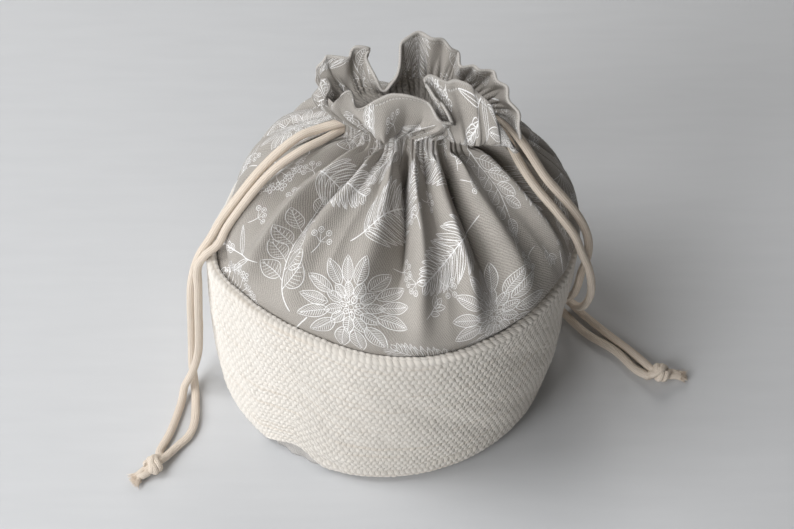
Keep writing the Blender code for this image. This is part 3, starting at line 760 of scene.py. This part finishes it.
def line_print_material():
    """White pigment, a little worn, so the cloth's grain shows through."""
    graph = Graph("print_white", 0.9)
    vector, across, up = graph.uv()
    worn = graph.noise(vector, 1.5, 3.0, 0.7)
    graph.colour(graph.blend(graph.span(worn, 0.42, 0.68), (0.93, 0.92, 0.915), (0.76, 0.745, 0.73)))
    return graph.material


PRINTED = printed_material()
PRINT_WHITE = line_print_material()
# How far the print lies off the cloth, and how much wider its strokes are than drawn
PRINT_LIFT = 0.13 * MM
PRINT_WEIGHT = 1.22


def arc_line(start, heading, length, turn=0.0, spacing=1.3):
    """Points in millimetres of a line from start, heading in degrees and turning by turn on its way."""
    count = max(3, int(length / spacing) + 1)
    headings = np.radians(heading + turn * np.linspace(0.0, 1.0, count))
    moves = np.stack([np.cos(headings), np.sin(headings)], axis=-1) * length / (count - 1)
    return np.vstack([[start], np.asarray(start) + np.cumsum(moves[:-1], axis=0)])


def normals_2d(line):
    along = np.gradient(line, axis=0)
    along /= np.maximum(np.linalg.norm(along, axis=-1, keepdims=True), 1e-9)
    return np.stack([-along[:, 1], along[:, 0]], axis=-1)


def unit(heading):
    return np.array([math.cos(math.radians(heading)), math.sin(math.radians(heading))])


def along_stem(stem, place):
    """The point at a share of a stem's length, and the stem's heading there in degrees."""
    spot = min(len(stem) - 1, int(place * (len(stem) - 1)))
    side = normals_2d(stem)[spot]
    return stem[spot], math.degrees(math.atan2(-side[0], side[1]))


def leaf(start, heading, length, half, turn=0.0, veins=0, rib=0.28):
    """Strokes of one leaf or petal: outline, rib and side veins. A stroke is (points, width)."""
    middle = arc_line(start, heading, length, turn, 1.1)
    share = np.linspace(0.0, 1.0, len(middle))
    width = half * np.sin(math.pi * share ** 0.85) ** 0.8
    side = normals_2d(middle)
    strokes = [(middle[:-1], rib)]
    for sign in (-1.0, 1.0):
        border = middle + sign * side * width[:, None]
        strokes.append((border, 0.30))
        for place in np.linspace(0.12, 0.78, veins) if veins else ():
            root = np.array([np.interp(place, share, middle[:, axis]) for axis in (0, 1)])
            tip_share = min(0.97, place + 0.16)
            tip = np.array([np.interp(tip_share, share, border[:, axis]) for axis in (0, 1)])
            strokes.append((np.linspace(root, mix(root, tip, 0.88), 4), 0.21))
    return strokes


def ring(centre, radius, width=0.26):
    angle = np.linspace(0.0, 2.0 * math.pi, 9 if radius < 1.6 else 13)
    return [(np.asarray(centre) + radius * np.stack([np.cos(angle), np.sin(angle)], axis=-1), width)]


def fern(chance):
    stem = arc_line((0.0, -28.0), 90.0 + chance.uniform(-12.0, 12.0), 58.0, chance.uniform(-24.0, 24.0))
    strokes = [(stem, 0.50)]
    for place in np.linspace(0.16, 0.97, 15):
        spot, heading = along_stem(stem, place)
        long = 16.5 * math.sin(math.pi * (0.18 + 0.78 * place)) + 2.0
        for sign in (-1.0, 1.0):
            tilt = 62.0 - 22.0 * place + chance.uniform(-5.0, 5.0)
            strokes += leaf(spot, heading + sign * tilt, long, 1.45, -sign * 16.0, rib=0.22)
    return strokes


def leafy_twig(chance):
    stem = arc_line((0.0, -27.0), 90.0 + chance.uniform(-15.0, 15.0), 52.0, chance.uniform(-35.0, 35.0))
    strokes = [(stem, 0.55)]
    for index, place in enumerate(np.linspace(0.2, 1.0, 10)):
        spot, heading = along_stem(stem, place)
        sign = 0.0 if index == 9 else (-1.0, 1.0)[index % 2]
        stalk = arc_line(spot, heading + sign * 48.0, 3.0)
        strokes.append((stalk, 0.4))
        size = 1.15 - 0.45 * place
        tilt = sign * chance.uniform(42.0, 62.0)
        strokes += leaf(stalk[-1], heading + tilt, 13.5 * size, 4.7 * size, -sign * 14.0, 6)
    return strokes


def bloom(chance):
    strokes = []
    whorls = ((14, 10.5, 25.0, 3.1, 10), (11, 4.6, 13.0, 2.3, 7), (7, 1.6, 6.0, 1.2, 3))
    for count, near, far, half, veins in whorls:
        first = chance.uniform(0.0, 360.0)
        for index in range(count):
            heading = first + 360.0 * index / count + chance.uniform(-4.0, 4.0)
            start = near * unit(heading)
            long = (far - near) * chance.uniform(0.86, 1.06)
            strokes += leaf(start, heading, long, half, chance.uniform(-14.0, 14.0), veins, 0.24)
    return strokes + ring((0.0, 0.0), 1.3)


def seed_head(chance):
    stem = arc_line((0.0, -24.0), 84.0, 26.0, 12.0)
    strokes = [(stem, 0.5)]
    for place in np.linspace(-68.0, 68.0, 10):
        long = 15.0 + 4.0 * math.cos(math.radians(place)) + chance.uniform(-2.0, 2.0)
        ray = arc_line(stem[-1], 90.0 + place, long, 0.25 * place)
        strokes.append((ray, 0.30))
        for turn in range(5):
            spot = ray[-1] + 2.1 * unit(72.0 * turn + place)
            strokes += ring(spot, 0.95, 0.34)
            strokes.append((np.linspace(ray[-2], mix(ray[-1], spot, 0.6), 3), 0.2))
    return strokes


def grass_ear(chance):
    stem = arc_line((0.0, -30.0), 90.0, 54.0, chance.uniform(-30.0, 30.0))
    strokes = [(stem, 0.42)]
    for index, place in enumerate(np.linspace(0.42, 1.0, 15)):
        spot, heading = along_stem(stem, place)
        sign = (-1.0, 1.0)[index % 2]
        grain = leaf(spot, heading + sign * 24.0, 6.2, 1.3, -sign * 10.0, rib=0.3)
        strokes += grain
        strokes.append((arc_line(grain[0][0][-1], heading + sign * 15.0, 12.0, -sign * 9.0), 0.2))
    for place, sign in ((0.12, 1.0), (0.25, -1.0)):
        strokes += leaf(along_stem(stem, place)[0], 90.0 + sign * 34.0, 18.0, 1.5, sign * 20.0, rib=0.24)
    return strokes


def small_sprig(chance):
    strokes = [(arc_line((0.0, -6.5), 90.0, 8.0, 10.0), 0.34)]
    for heading in (48.0, 90.0, 132.0):
        strokes += leaf((0.0, 0.5), heading, 6.5, 1.6, rib=0.22)
    return strokes + leaf((0.0, -3.0), 40.0, 5.5, 1.3, rib=0.2)


def berry_twig(chance):
    strokes = [(arc_line((0.0, -6.0), 80.0, 7.0, 20.0), 0.34)]
    for heading in (30.0, 75.0, 118.0, 158.0):
        stalk = arc_line((0.0, 0.5), heading, chance.uniform(2.6, 4.6), 12.0)
        tip = stalk[-1] + 1.3 * unit(heading)
        strokes += [(stalk, 0.26)] + ring(tip, 1.35, 0.3) + ring(tip, 0.4, 0.3)
    return strokes


# Each motif with the discs (x, y, radius) that it keeps free, in millimetres
MOTIFS = (
    (bloom, ((0.0, 0.0, 23.5),)),
    (fern, ((0.0, -16.0, 13.0), (0.0, 0.0, 14.5), (0.0, 18.0, 11.0))),
    (leafy_twig, ((0.0, -18.0, 8.0), (0.0, 0.0, 12.5), (0.0, 17.0, 12.5))),
    (seed_head, ((0.0, 8.0, 16.5), (0.0, -15.0, 4.0))),
    (grass_ear, ((0.0, -20.0, 4.0), (0.0, -4.0, 7.0), (0.0, 12.0, 8.0), (0.0, 26.0, 8.0))),
    (small_sprig, ((0.0, 0.0, 7.0),)),
    (berry_twig, ((0.0, 0.0, 6.0),)),
)
# From this number on a motif is small. The order tries the large ones first
SMALL_MOTIFS = 5
MOTIF_ORDER = [0, 1, 2, 3, 4, 0, 1, 2, 3] * 4 + [1, 2, 3, 4] * 16 + [5, 6] * 40
PRINT_EDGE = 6.0


def print_layout(seed, width, length):
    """All strokes of one panel's print: motifs strewn at random, none over another."""
    chance = np.random.default_rng(seed)
    taken, strokes = [], []
    for kind in MOTIF_ORDER:
        draw, discs = MOTIFS[kind]
        for _ in range(400 if kind < SMALL_MOTIFS else 80):
            centre = [chance.uniform(-PRINT_EDGE, side + PRINT_EDGE) for side in (width, length)]
            centre = np.array(centre)
            turn = chance.uniform(0.0, 2.0 * math.pi)
            matrix = np.array([[math.cos(turn), math.sin(turn)], [-math.sin(turn), math.cos(turn)]])
            spots = [(centre + np.array(disc[:2]) @ matrix, disc[2]) for disc in discs]
            if all(
                np.linalg.norm(spot - other) > radius + wide
                for spot, radius in spots for other, wide in taken
            ):
                taken += spots
                strokes += [(centre + points @ matrix, thick) for points, thick in draw(chance)]
                break
    return strokes


def print_piece(name, strokes, surface, normal, row_lengths, lowest=0.0):
    """The strokes as thin flat lines that lie on the cloth's surface. Strokes are in millimetres of cloth."""
    rows, columns = surface.shape[:2]
    left, right, joins = [], [], []
    first = 0
    for line, thick in strokes:
        side = normals_2d(line) * 0.5 * PRINT_WEIGHT * thick
        taper = np.ones(len(line))
        taper[0], taper[-1] = 0.6, 0.35
        left.append(line - side * taper[:, None])
        right.append(line + side * taper[:, None])
        number = first + np.arange(len(line) - 1)
        joins.append(number)
        first += len(line)
    flat = np.concatenate([np.vstack(left), np.vstack(right)])
    total = first
    place = np.concatenate(joins)
    quads = np.stack([place, place + 1, place + 1 + total, place + total], axis=-1)
    long = row_lengths[-1] / MM
    inside = (flat[:, 0] > 2.5) & (flat[:, 0] < CLOTH_WIDTH / MM - 2.5)
    inside &= (flat[:, 1] > max(2.0, lowest)) & (flat[:, 1] < long - 0.6)
    quads = quads[inside[quads].all(axis=1)]
    column = np.clip(flat[:, 0] * MM / CLOTH_WIDTH * (columns - 1), 0.0, columns - 1.001)
    row = np.clip(np.interp(flat[:, 1] * MM, row_lengths, np.arange(rows)), 0.0, rows - 1.001)
    whole_column, whole_row = column.astype(int), row.astype(int)
    part, rise = (column - whole_column)[:, None], (row - whole_row)[:, None]

    def sample(grid):
        below = mix(grid[whole_row, whole_column], grid[whole_row, whole_column + 1], part)
        above = mix(grid[whole_row + 1, whole_column], grid[whole_row + 1, whole_column + 1], part)
        return mix(below, above, rise)

    points = sample(surface) + sample(normal) * PRINT_LIFT
    used, numbers = np.unique(quads, return_inverse=True)
    item = new_object(name, points[used], numbers.reshape(-1, 4), PRINT_WHITE, flat[used])
    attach(item, "root")
    return item


def spread(table, share):
    return np.interp(share, [place[0] for place in table], [place[1] for place in table])


def rim_angle(side, share):
    return math.pi + side * math.pi * spread(RIM_SPREAD, share)


def neck_angle(side, share, step):
    vent = VENT_ANGLE * smooth_step(VENT_START, 1.0, step)
    return math.pi + side * mix(vent, math.pi - vent, spread(NECK_SPREAD, share))


def tuck_point(angle, height):
    radius = wall_radius(angle, height) - BAND_WALL - 3.0 * SEAM_GAP
    if height >= BAND_HEIGHT:
        radius = np.minimum(radius, plan_radius(DOME_PLAN, angle))
    return band_point(angle, radius, height + 0.0 * angle)


def neck_point(angle):
    return np.stack([
        NECK_CENTRE[0] + NECK_HALF_WIDTH * np.cos(angle), NECK_CENTRE[1] + NECK_HALF_DEPTH * np.sin(angle),
        NECK_HEIGHT + 0.0 * angle,
    ], axis=-1)


def dome_row(side, share, step):
    """One row of the dome without its folds."""
    angle = rim_angle(side, share)
    if step < DOME_FOOT:
        return tuck_point(angle, BAND_HEIGHT - TUCK_DEPTH * (1.0 - smooth_step(0.0, 0.05, step)))
    outward = outward_of(angle)
    turn = 0.5 * math.pi * min(1.0, step)
    reach = max(0.0, math.cos(turn)) ** (2.0 / DOME_POWER)
    rise = math.sin(turn) ** (2.0 / DOME_POWER)
    rim = outward * plan_radius(DOME_PLAN, angle)[..., None]
    point = mix(neck_point(neck_angle(side, share, step)), rim, reach)
    point[..., 2] = mix(BAND_HEIGHT, NECK_HEIGHT, rise)
    return point + outward * DOME_FILL * math.sin(math.pi * min(1.0, 1.6 * step))


# How strong each of a panel's ten folds is, from its left end to its right one
VALLEYS = {
    1: (2.5, 4.5, 11.5, 2.5, 14.0, 5.5, 11.5, 3.5, 8.5, 2.5),
    -1: (3.0, 5.0, 8.0, 3.5, 9.0, 5.0, 10.0, 4.0, 7.0, 3.0),
}

# Rows of the casing, and the inner strip's rows from the neck row and free columns at each end
CASING_ROWS = 7
STRIP_ROWS = (-4, 16)
STRIP_MARGIN = 24
# Half of the neck's width over which the casing is kept outside the cords
CASING_HALF = 0.034

PLEATS = 32
FOLD_LEAN = 0.12
FLUTTER = 1.3 * MM
BACK_UV_SHIFT = (700.0, 300.0)
PRINT_SEEDS = {1: (7, 21), -1: (11, 25)}


def fold_depth(side, share, step):
    """How far the cloth lies in from the dome here, in metres: folds below, tight pleats at the neck."""
    wander = 0.006 * np.sin(9.0 * step + 11.0 * share) + 0.004 * np.sin(17.0 * share + 5.0 * step)
    place = share + wander * smooth_step(0.1, 0.5, step) * smooth_step(1.0, 0.8, step)
    strength = np.interp(place, (np.arange(10) + 0.5) / 10.0, VALLEYS[side])
    turn = 10.0 * place
    turn = turn + side * FOLD_LEAN * np.sin(2.0 * math.pi * turn)
    lobe = np.abs(np.cos(math.pi * turn)) ** mix(1.3, 0.62, smooth_step(0.2, 0.75, step))
    growth = smooth_step(0.05, 0.6, step) * mix(1.0, 0.3, smooth_step(0.92, 1.0, step))
    folds = 1.6 * strength * growth * (lobe - 1.0)
    half = np.abs(np.cos(20.0 * math.pi * place + 0.9 + 0.7 * np.sin(13.0 * share))) - 1.0
    half = (1.7 + 0.9 * np.sin(19.0 * share + 1.0)) * half
    folds += half * smooth_step(0.62, 0.84, step) * smooth_step(1.03, 0.94, step)
    folds += 2.6 * lobe * smooth_step(0.74, 0.90, step) * smooth_step(1.0, 0.95, step)
    pleat = np.abs(np.cos(PLEATS * math.pi * share + 0.8 * np.sin(23.0 * share))) ** 0.5 - 1.0
    folds += (3.7 + 1.0 * np.sin(31.0 * share)) * pleat * smooth_step(0.87, 0.97, step)
    calm = smooth_step(0.0, VENT_SHARE, np.minimum(share, 1.0 - share))
    return (folds + 1.6 * growth) * calm * MM


def closed_sheet_faces(rows, columns, side):
    """Faces of a closed sheet: its upper grid, its lower grid and the border that joins them."""
    size = rows * columns
    edge = np.concatenate([
        np.arange(columns), np.arange(1, rows) * columns + columns - 1,
        (rows - 1) * columns + np.arange(columns - 2, -1, -1), np.arange(rows - 2, 0, -1) * columns,
    ])
    following = np.roll(edge, -1)
    border = np.stack([following, edge, edge + size, following + size], axis=-1)
    return np.vstack([
        grid_faces(rows, columns, flip=side < 0), grid_faces(rows, columns, start=size, flip=side > 0),
        border if side > 0 else border[:, ::-1],
    ])


def casing_strip(name, side, base, angle, share, uv):
    """The casing's inner strip: it leaves the panel's inner face, passes round the cords and comes back."""
    inward = -outward_of(angle)
    reach = CORD_DIAMETER / 2.0 + 0.5 * MM
    depth = np.zeros(base.shape[:2])
    for row, column in np.ndindex(depth.shape):
        for distance in np.arange(0.0, 18.0, 0.4) * MM:
            if cord_tree.find(base[row, column] + inward[column] * distance)[2] < reach:
                depth[row, column] = distance + 0.4 * MM
    from_side = np.minimum(share, 1.0 - share)
    depth *= smooth_step(0.07, 0.13, from_side)
    level = base[..., 2]
    bulge = np.zeros_like(depth)
    for row in range(len(depth)):
        bulge = np.maximum(bulge, depth[row] * (1.0 - smooth_step(0.0, 4.5 * MM, np.abs(level - level[row]))))
    bulge[0] = bulge[-1] = 0.0
    for _ in range(6):
        bulge[:, 1:-1] = 0.5 * bulge[:, 1:-1] + 0.25 * (bulge[:, 2:] + bulge[:, :-2])
    room = np.abs(base[..., 1] - NECK_CENTRE[1]) / np.maximum(np.abs(np.sin(angle)), 0.2) - 0.9 * MM
    bulge = np.minimum(bulge, np.maximum(room, 0.0))
    bulge = bulge * (1.0 + 0.05 * np.sin(2.0 * math.pi * 38.0 * share + 2.0 * np.sin(17.0 * share)))
    surface = base + inward * (bulge + 0.15 * MM)[..., None]
    inner = surface + inward * 0.5 * MM
    points = np.vstack([surface.reshape(-1, 3), inner.reshape(-1, 3)])
    far_from_hem = (("hem", np.full(len(points), 60.0)),)
    uv = np.vstack([uv.reshape(-1, 2)] * 2)
    item = new_object(name, points, closed_sheet_faces(*bulge.shape, side), PRINTED, uv, far_from_hem)
    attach(item, "root")
    return item


def build_panel(name, side, hem_route, node):
    """One cloth panel as a thin closed sheet: dome, neck, casing and frill."""
    share = np.linspace(0.0, 1.0, PANEL_COLUMNS + 1)
    steps = np.concatenate([[0.0, 0.03, 0.06], np.linspace(DOME_FOOT, 1.0, 64)])
    rows = []
    for step in steps:
        row = dome_row(side, share, step)
        if step >= DOME_FOOT:
            ahead = dome_row(side, share, min(1.0, step + 0.01))
            behind = dome_row(side, share, max(DOME_FOOT, step - 0.01))
            along = np.gradient(row, axis=0)
            normal = np.cross(along, ahead - behind) * side
            normal /= np.maximum(np.linalg.norm(normal, axis=-1, keepdims=True), 1e-12)
            row = row + normal * fold_depth(side, share, step)[:, None]
        rows.append(row)
    angle = neck_angle(side, share, 1.0)
    outward = outward_of(angle)
    neck = neck_point(angle)
    for rise in np.linspace(0.0, 1.0, CASING_ROWS + 1)[1:]:
        row = neck + outward * fold_depth(side, share, 1.0)[:, None]
        row[:, 2] += CASING_HEIGHT * rise
        rows.append(row)
    casing_top = neck.copy()
    casing_top[:, 2] += CASING_HEIGHT
    hem_points = [tuple(value * MM for value in point) for point in hem_route]
    hem_line = curve_points(hem_points, count=PANEL_COLUMNS)
    if side > 0:
        swell = np.stack([
            np.interp(share, [row[0] for row in FRONT_SWELL], [row[axis] * MM for row in FRONT_SWELL])
            for axis in (1, 2, 3)
        ], axis=-1)
        for _ in range(25):
            swell[1:-1] = 0.5 * swell[1:-1] + 0.25 * (swell[2:] + swell[:-2])
        middle = (swell - (1.0 - SWELL_STEP) ** 2 * casing_top - SWELL_STEP ** 2 * hem_line) / (
            2.0 * SWELL_STEP * (1.0 - SWELL_STEP))
    else:
        middle = mix(casing_top, hem_line, 0.5) + outward * BACK_BELLY
    frill_steps = np.linspace(0.0, 1.0, 34)[1:]
    calm_sides = smooth_step(0.0, 0.06, np.minimum(share, 1.0 - share))
    for step in frill_steps:
        row = mix(mix(casing_top, middle, step), mix(middle, hem_line, step), step)
        pleat = fold_depth(side, share, 1.0) * (1.0 - smooth_step(0.0, 0.75, step))
        flutter = FLUTTER * np.sin(2.0 * math.pi * (13.0 * share + 0.5 * np.sin(9.0 * share) + 0.3 * side))
        flutter = flutter * calm_sides
        rows.append(row + outward * (pleat + flutter * smooth_step(0.2, 0.8, step))[:, None])
    outer = np.array(rows)
    outer[..., 1] -= side * SEAM_GAP
    neck_row = len(steps) - 1
    ease = np.exp(-((np.arange(len(rows)) - neck_row) / 4.0) ** 2)[1:-1, None, None]
    for _ in range(8):
        outer[1:-1] += 0.5 * ease * (0.5 * (outer[2:] + outer[:-2]) - outer[1:-1])

    lengths = np.concatenate([
        np.zeros((1, outer.shape[1])), np.cumsum(np.linalg.norm(np.diff(outer, axis=0), axis=-1), axis=0)
    ])
    mean_length = lengths.mean(axis=1)
    from_hem = (mean_length[-1] - mean_length)[:, None] + 0.0 * share[None, :]
    from_side = np.minimum(share, 1.0 - share)[None, :] * CLOTH_WIDTH + 0.0 * from_hem
    frilled = mean_length[:, None] > mean_length[len(steps)]
    hem = np.where(frilled, np.minimum(from_hem, from_side), from_hem) / MM

    normal = grid_normals(outer) * side
    for _ in range(2):
        normal[1:-1, 1:-1] = 0.5 * normal[1:-1, 1:-1] + 0.125 * (
            normal[2:, 1:-1] + normal[:-2, 1:-1] + normal[1:-1, 2:] + normal[1:-1, :-2]
        )
        normal /= np.maximum(np.linalg.norm(normal, axis=-1, keepdims=True), 1e-12)
    push_cloth(outer, normal, (neck_row - 3, neck_row + 10))
    thickness = mix(HEM_CLOTH, CLOTH, smooth_step(4.6, 5.6, hem))
    thickness = thickness * mix(0.55, 1.0, smooth_step(0.0, 0.5, hem))
    thickness = thickness - 0.7 * MM * np.exp(-((hem - HEM_STITCH) / 0.5) ** 2)
    top = outer + normal * (0.5 * (thickness - CLOTH))[..., None]
    inner = outer - normal * (0.5 * (thickness + CLOTH))[..., None]

    faces = closed_sheet_faces(*outer.shape[:2], side)
    uv = np.stack(np.broadcast_arrays(share[None, :] * CLOTH_WIDTH / MM, mean_length[:, None] / MM), axis=-1)
    if side < 0:
        uv = uv + np.array(BACK_UV_SHIFT)
    points = np.vstack([top.reshape(-1, 3), inner.reshape(-1, 3)])
    item = new_object(
        name, points, faces, PRINTED, np.vstack([uv.reshape(-1, 2)] * 2),
        (("hem", np.concatenate([hem.ravel(), hem.ravel()])),),
    )
    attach(item, "root")
    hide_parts(node)
    outside, inside = (
        print_layout(seed, CLOTH_WIDTH / MM, float(mean_length[-1]) / MM) for seed in PRINT_SEEDS[side])
    neck_length = float(mean_length[len(steps) + CASING_ROWS]) / MM
    span = slice(neck_row + STRIP_ROWS[0], neck_row + STRIP_ROWS[1])
    columns_in = slice(STRIP_MARGIN, -STRIP_MARGIN)
    # Both prints, and the casing's strip that is sewn to the same panel
    prints = [
        print_piece(name.replace("cloth", "print"), outside, top, normal, mean_length),
        print_piece(name.replace("cloth", "print_inside"), inside, inner, -normal, mean_length, neck_length),
        casing_strip(
            name.replace("cloth", "casing"), side, inner[span, columns_in], angle[columns_in],
            share[columns_in], uv[span, columns_in],
        ),
    ]


def push_cloth(points, normal, casing):
    """Press the cloth in wherever a cord lies on it, and keep the casing's rows outside the cord in it."""
    reach = CORD_DIAMETER / 2.0
    flat = points.reshape(-1, 3)
    direction = normal.reshape(-1, 3)
    for index in range(len(flat)):
        spot = flat[index]
        near, place, away = cord_tree.find(spot)
        if away > 2.6 * reach:
            continue
        near = np.array(near)
        out = spot - near
        facing = float(np.dot(out, direction[index]))
        need = reach + 0.35 * MM + (CLOTH if facing > 0.0 else 0.0)
        in_casing = casing[0] <= index // points.shape[1] < casing[1]
        if facing <= 0.0 and in_casing and abs(near[0] - NECK_CENTRE[0]) < CASING_HALF:
            flat[index] = near + direction[index] * (reach + CLOTH + 0.35 * MM)
        elif away < need:
            flat[index] = near + out / max(away, 1e-9) * need
    points[...] = flat.reshape(points.shape)


build_panel("front_cloth", 1, FRONT_HEM, "front_panel")
build_panel("back_cloth", -1, BACK_HEM, "back_panel")


def plain_material():
    graph = Graph("plain_cotton", 0.92)
    vector, across, up = graph.uv()
    tone, weave = cloth_tone(graph, vector, across, up, (0.62, 0.60, 0.575), (0.48, 0.46, 0.44))
    graph.colour(tone)
    graph.bump(weave, 0.0003, 0.6)
    return graph.material


PLAIN = plain_material()


def turned_object(name, columns, profile_at, material, node):
    """A turned cloth whose profile of (radius, height) may change with the angle."""
    angle = np.arange(columns) * 2.0 * math.pi / columns
    rings = profile_at(angle)
    grid = np.array([band_point(angle, radius, height) for radius, height in rings])
    rows = len(grid)
    points = np.vstack([
        grid.reshape(-1, 3), band_point(np.zeros(1), np.zeros(1), rings[0][1][:1]),
        band_point(np.zeros(1), np.zeros(1), rings[-1][1][:1]),
    ])
    faces = grid_faces(rows, columns, wrap=True).tolist()
    bottom = rows * columns
    for index in range(columns):
        following = (index + 1) % columns
        faces.append([bottom, following, index])
        faces.append([bottom + 1, (rows - 1) * columns + index, (rows - 1) * columns + following])
    travel = travel_along(grid[:, 0]) / MM
    uv = np.stack(np.broadcast_arrays(angle[None, :] * 90.0, travel[:, None]), axis=-1).reshape(-1, 2)
    uv = np.vstack([uv, [[0.0, 0.0], [0.0, 1.0]]])
    item = new_object(name, points, faces, material, uv)
    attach(item, "root")
    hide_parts(node)


def base_profile(angle):
    lift = smooth_step(0.5 * MM, 9.0 * MM, edge_height(angle))
    ones = np.ones_like(angle)
    foot = BASE_RADIUS - TURN_RADIUS - FOOT_WIDTH - SEAM_GAP
    clear = BAND_WALL + 3.0 * SEAM_GAP
    side = wall_radius(angle, BASE_SIDE_HEIGHT) - clear
    step = BAND_WALL + SEAM_GAP
    high = TURN_RADIUS + 3.0 * MM
    low_side = wall_radius(angle, high) - clear - 0.5 * MM
    bulge = BASE_RADIUS - 4.5 * MM
    fold = 0.6 * MM * np.sin(46.0 * angle) * lift
    sewn = (
        (foot * 0.5 * ones, 0.0), (foot * ones, 0.0), (foot * ones, step * 0.5), (foot * ones, step),
        (low_side, high), (side, BASE_SIDE_HEIGHT), (side - BASE_CLOTH, BASE_SIDE_HEIGHT),
        ((foot - BASE_CLOTH) * ones, step + BASE_CLOTH), ((foot - BASE_CLOTH) * ones, BASE_CLOTH),
        (foot * 0.5 * ones, BASE_CLOTH),
    )
    free = (
        (foot * 0.5 * ones, 0.0), (bulge + 0.6 * MM + fold, 0.0), (bulge + 1.2 * MM + fold, step * 0.4),
        (bulge + 0.4 * MM + fold, step), (low_side, high), (side, BASE_SIDE_HEIGHT),
        (side - BASE_CLOTH, BASE_SIDE_HEIGHT), (foot * ones, step + BASE_CLOTH), (foot * ones, BASE_CLOTH),
        (foot * 0.5 * ones, BASE_CLOTH),
    )
    return [(mix(a[0], b[0], lift), mix(a[1], b[1], lift) * ones) for a, b in zip(sewn, free)]


def lining_profile(angle):
    ones = np.ones_like(angle)
    cloth = 1.2 * MM
    floor = BASE_CLOTH + SEAM_GAP
    foot = BASE_RADIUS - TURN_RADIUS - FOOT_WIDTH - BASE_CLOTH - 3.0 * SEAM_GAP
    low_side = BASE_RADIUS - BAND_WALL - BASE_CLOTH - 6.0 * SEAM_GAP - 2.0 * MM
    top = BAND_HEIGHT - TUCK_DEPTH - 1.8 * MM
    middle = 0.55 * BAND_HEIGHT
    clear = BAND_WALL + LINING_EASE
    above = BASE_SIDE_HEIGHT + 5.0 * MM
    outer = [
        (foot * 0.5 * ones, floor), (foot * ones, floor), (foot * ones, BAND_WALL + BASE_CLOTH),
        (low_side * ones, BASE_SIDE_HEIGHT), (wall_radius(angle, above) - clear, above),
        (wall_radius(angle, middle) - clear, middle), (wall_radius(angle, top) - clear, top),
    ]
    inner = [(radius - cloth, height + cloth) for radius, height in outer[:-1]]
    inner.append((outer[-1][0] - cloth, top))
    return [(radius, height * ones) for radius, height in outer + inner[::-1]]


turned_object("base_cloth", 360, base_profile, PLAIN, "base_panel")
turned_object("lining_cloth", 180, lining_profile, PLAIN, "lining")


def build_floor():
    """A plain pale floor with a faint grain."""
    graph = Graph("floor_surface", 0.7)
    coords = graph.tree.nodes.new("ShaderNodeTexCoord").outputs["Object"]
    stretched = graph.node("ShaderNodeMapping", 0, Vector=coords, Scale=(6.0, 40.0, 1.0))
    grain = graph.noise(stretched, 3.0, 5.0)
    graph.colour(graph.blend(grain, (0.66, 0.67, 0.685), (0.61, 0.62, 0.635)))
    mesh = bpy.data.meshes.new("floor")
    size = 3.0
    corners = [(-size, -size, 0), (size, -size, 0), (size, size, 0), (-size, size, 0)]
    mesh.from_pydata(corners, [], [(0, 1, 2, 3)])
    item = bpy.data.objects.new("floor", mesh)
    bpy.context.scene.collection.objects.link(item)
    mesh.materials.append(graph.material)


def add_lamp(name, location, target, size, power, colour):
    data = bpy.data.lights.new(name, "AREA")
    data.shape = "DISK"
    data.size = size
    data.energy = power
    data.color = colour
    item = bpy.data.objects.new(name, data)
    item.location = location
    item.rotation_euler = (Vector(target) - Vector(location)).to_track_quat("-Z", "Y").to_euler()
    bpy.context.scene.collection.objects.link(item)


build_floor()
for name, location, power, colour in (
    ("window_front", (-1.15, -1.2, 0.9), 18.0, (0.99, 0.995, 1.0)),
    ("window_left", (-1.6, 0.0, 0.9), 6.2, (0.99, 0.995, 1.0)),
    ("sky_left", (-0.9, -0.1, 1.5), 15.0, (0.99, 0.995, 1.0)),
    ("room_back", (0.0, 1.6, 1.0), 8.5, (1.0, 0.965, 0.92)),
    ("room_front", (0.1, -1.7, 0.9), 4.0, (1.0, 0.965, 0.92)),
):
    add_lamp(name, location, (0.0, 0.0, 0.08), 1.0, power, colour)
world = bpy.data.worlds.new("studio")
world.use_nodes = True
world.node_tree.nodes["Background"].inputs["Color"].default_value = (0.97, 0.985, 1.0, 1.0)
world.node_tree.nodes["Background"].inputs["Strength"].default_value = 0.02
bpy.context.scene.world = world
bpy.context.scene.view_settings.view_transform = "Standard"
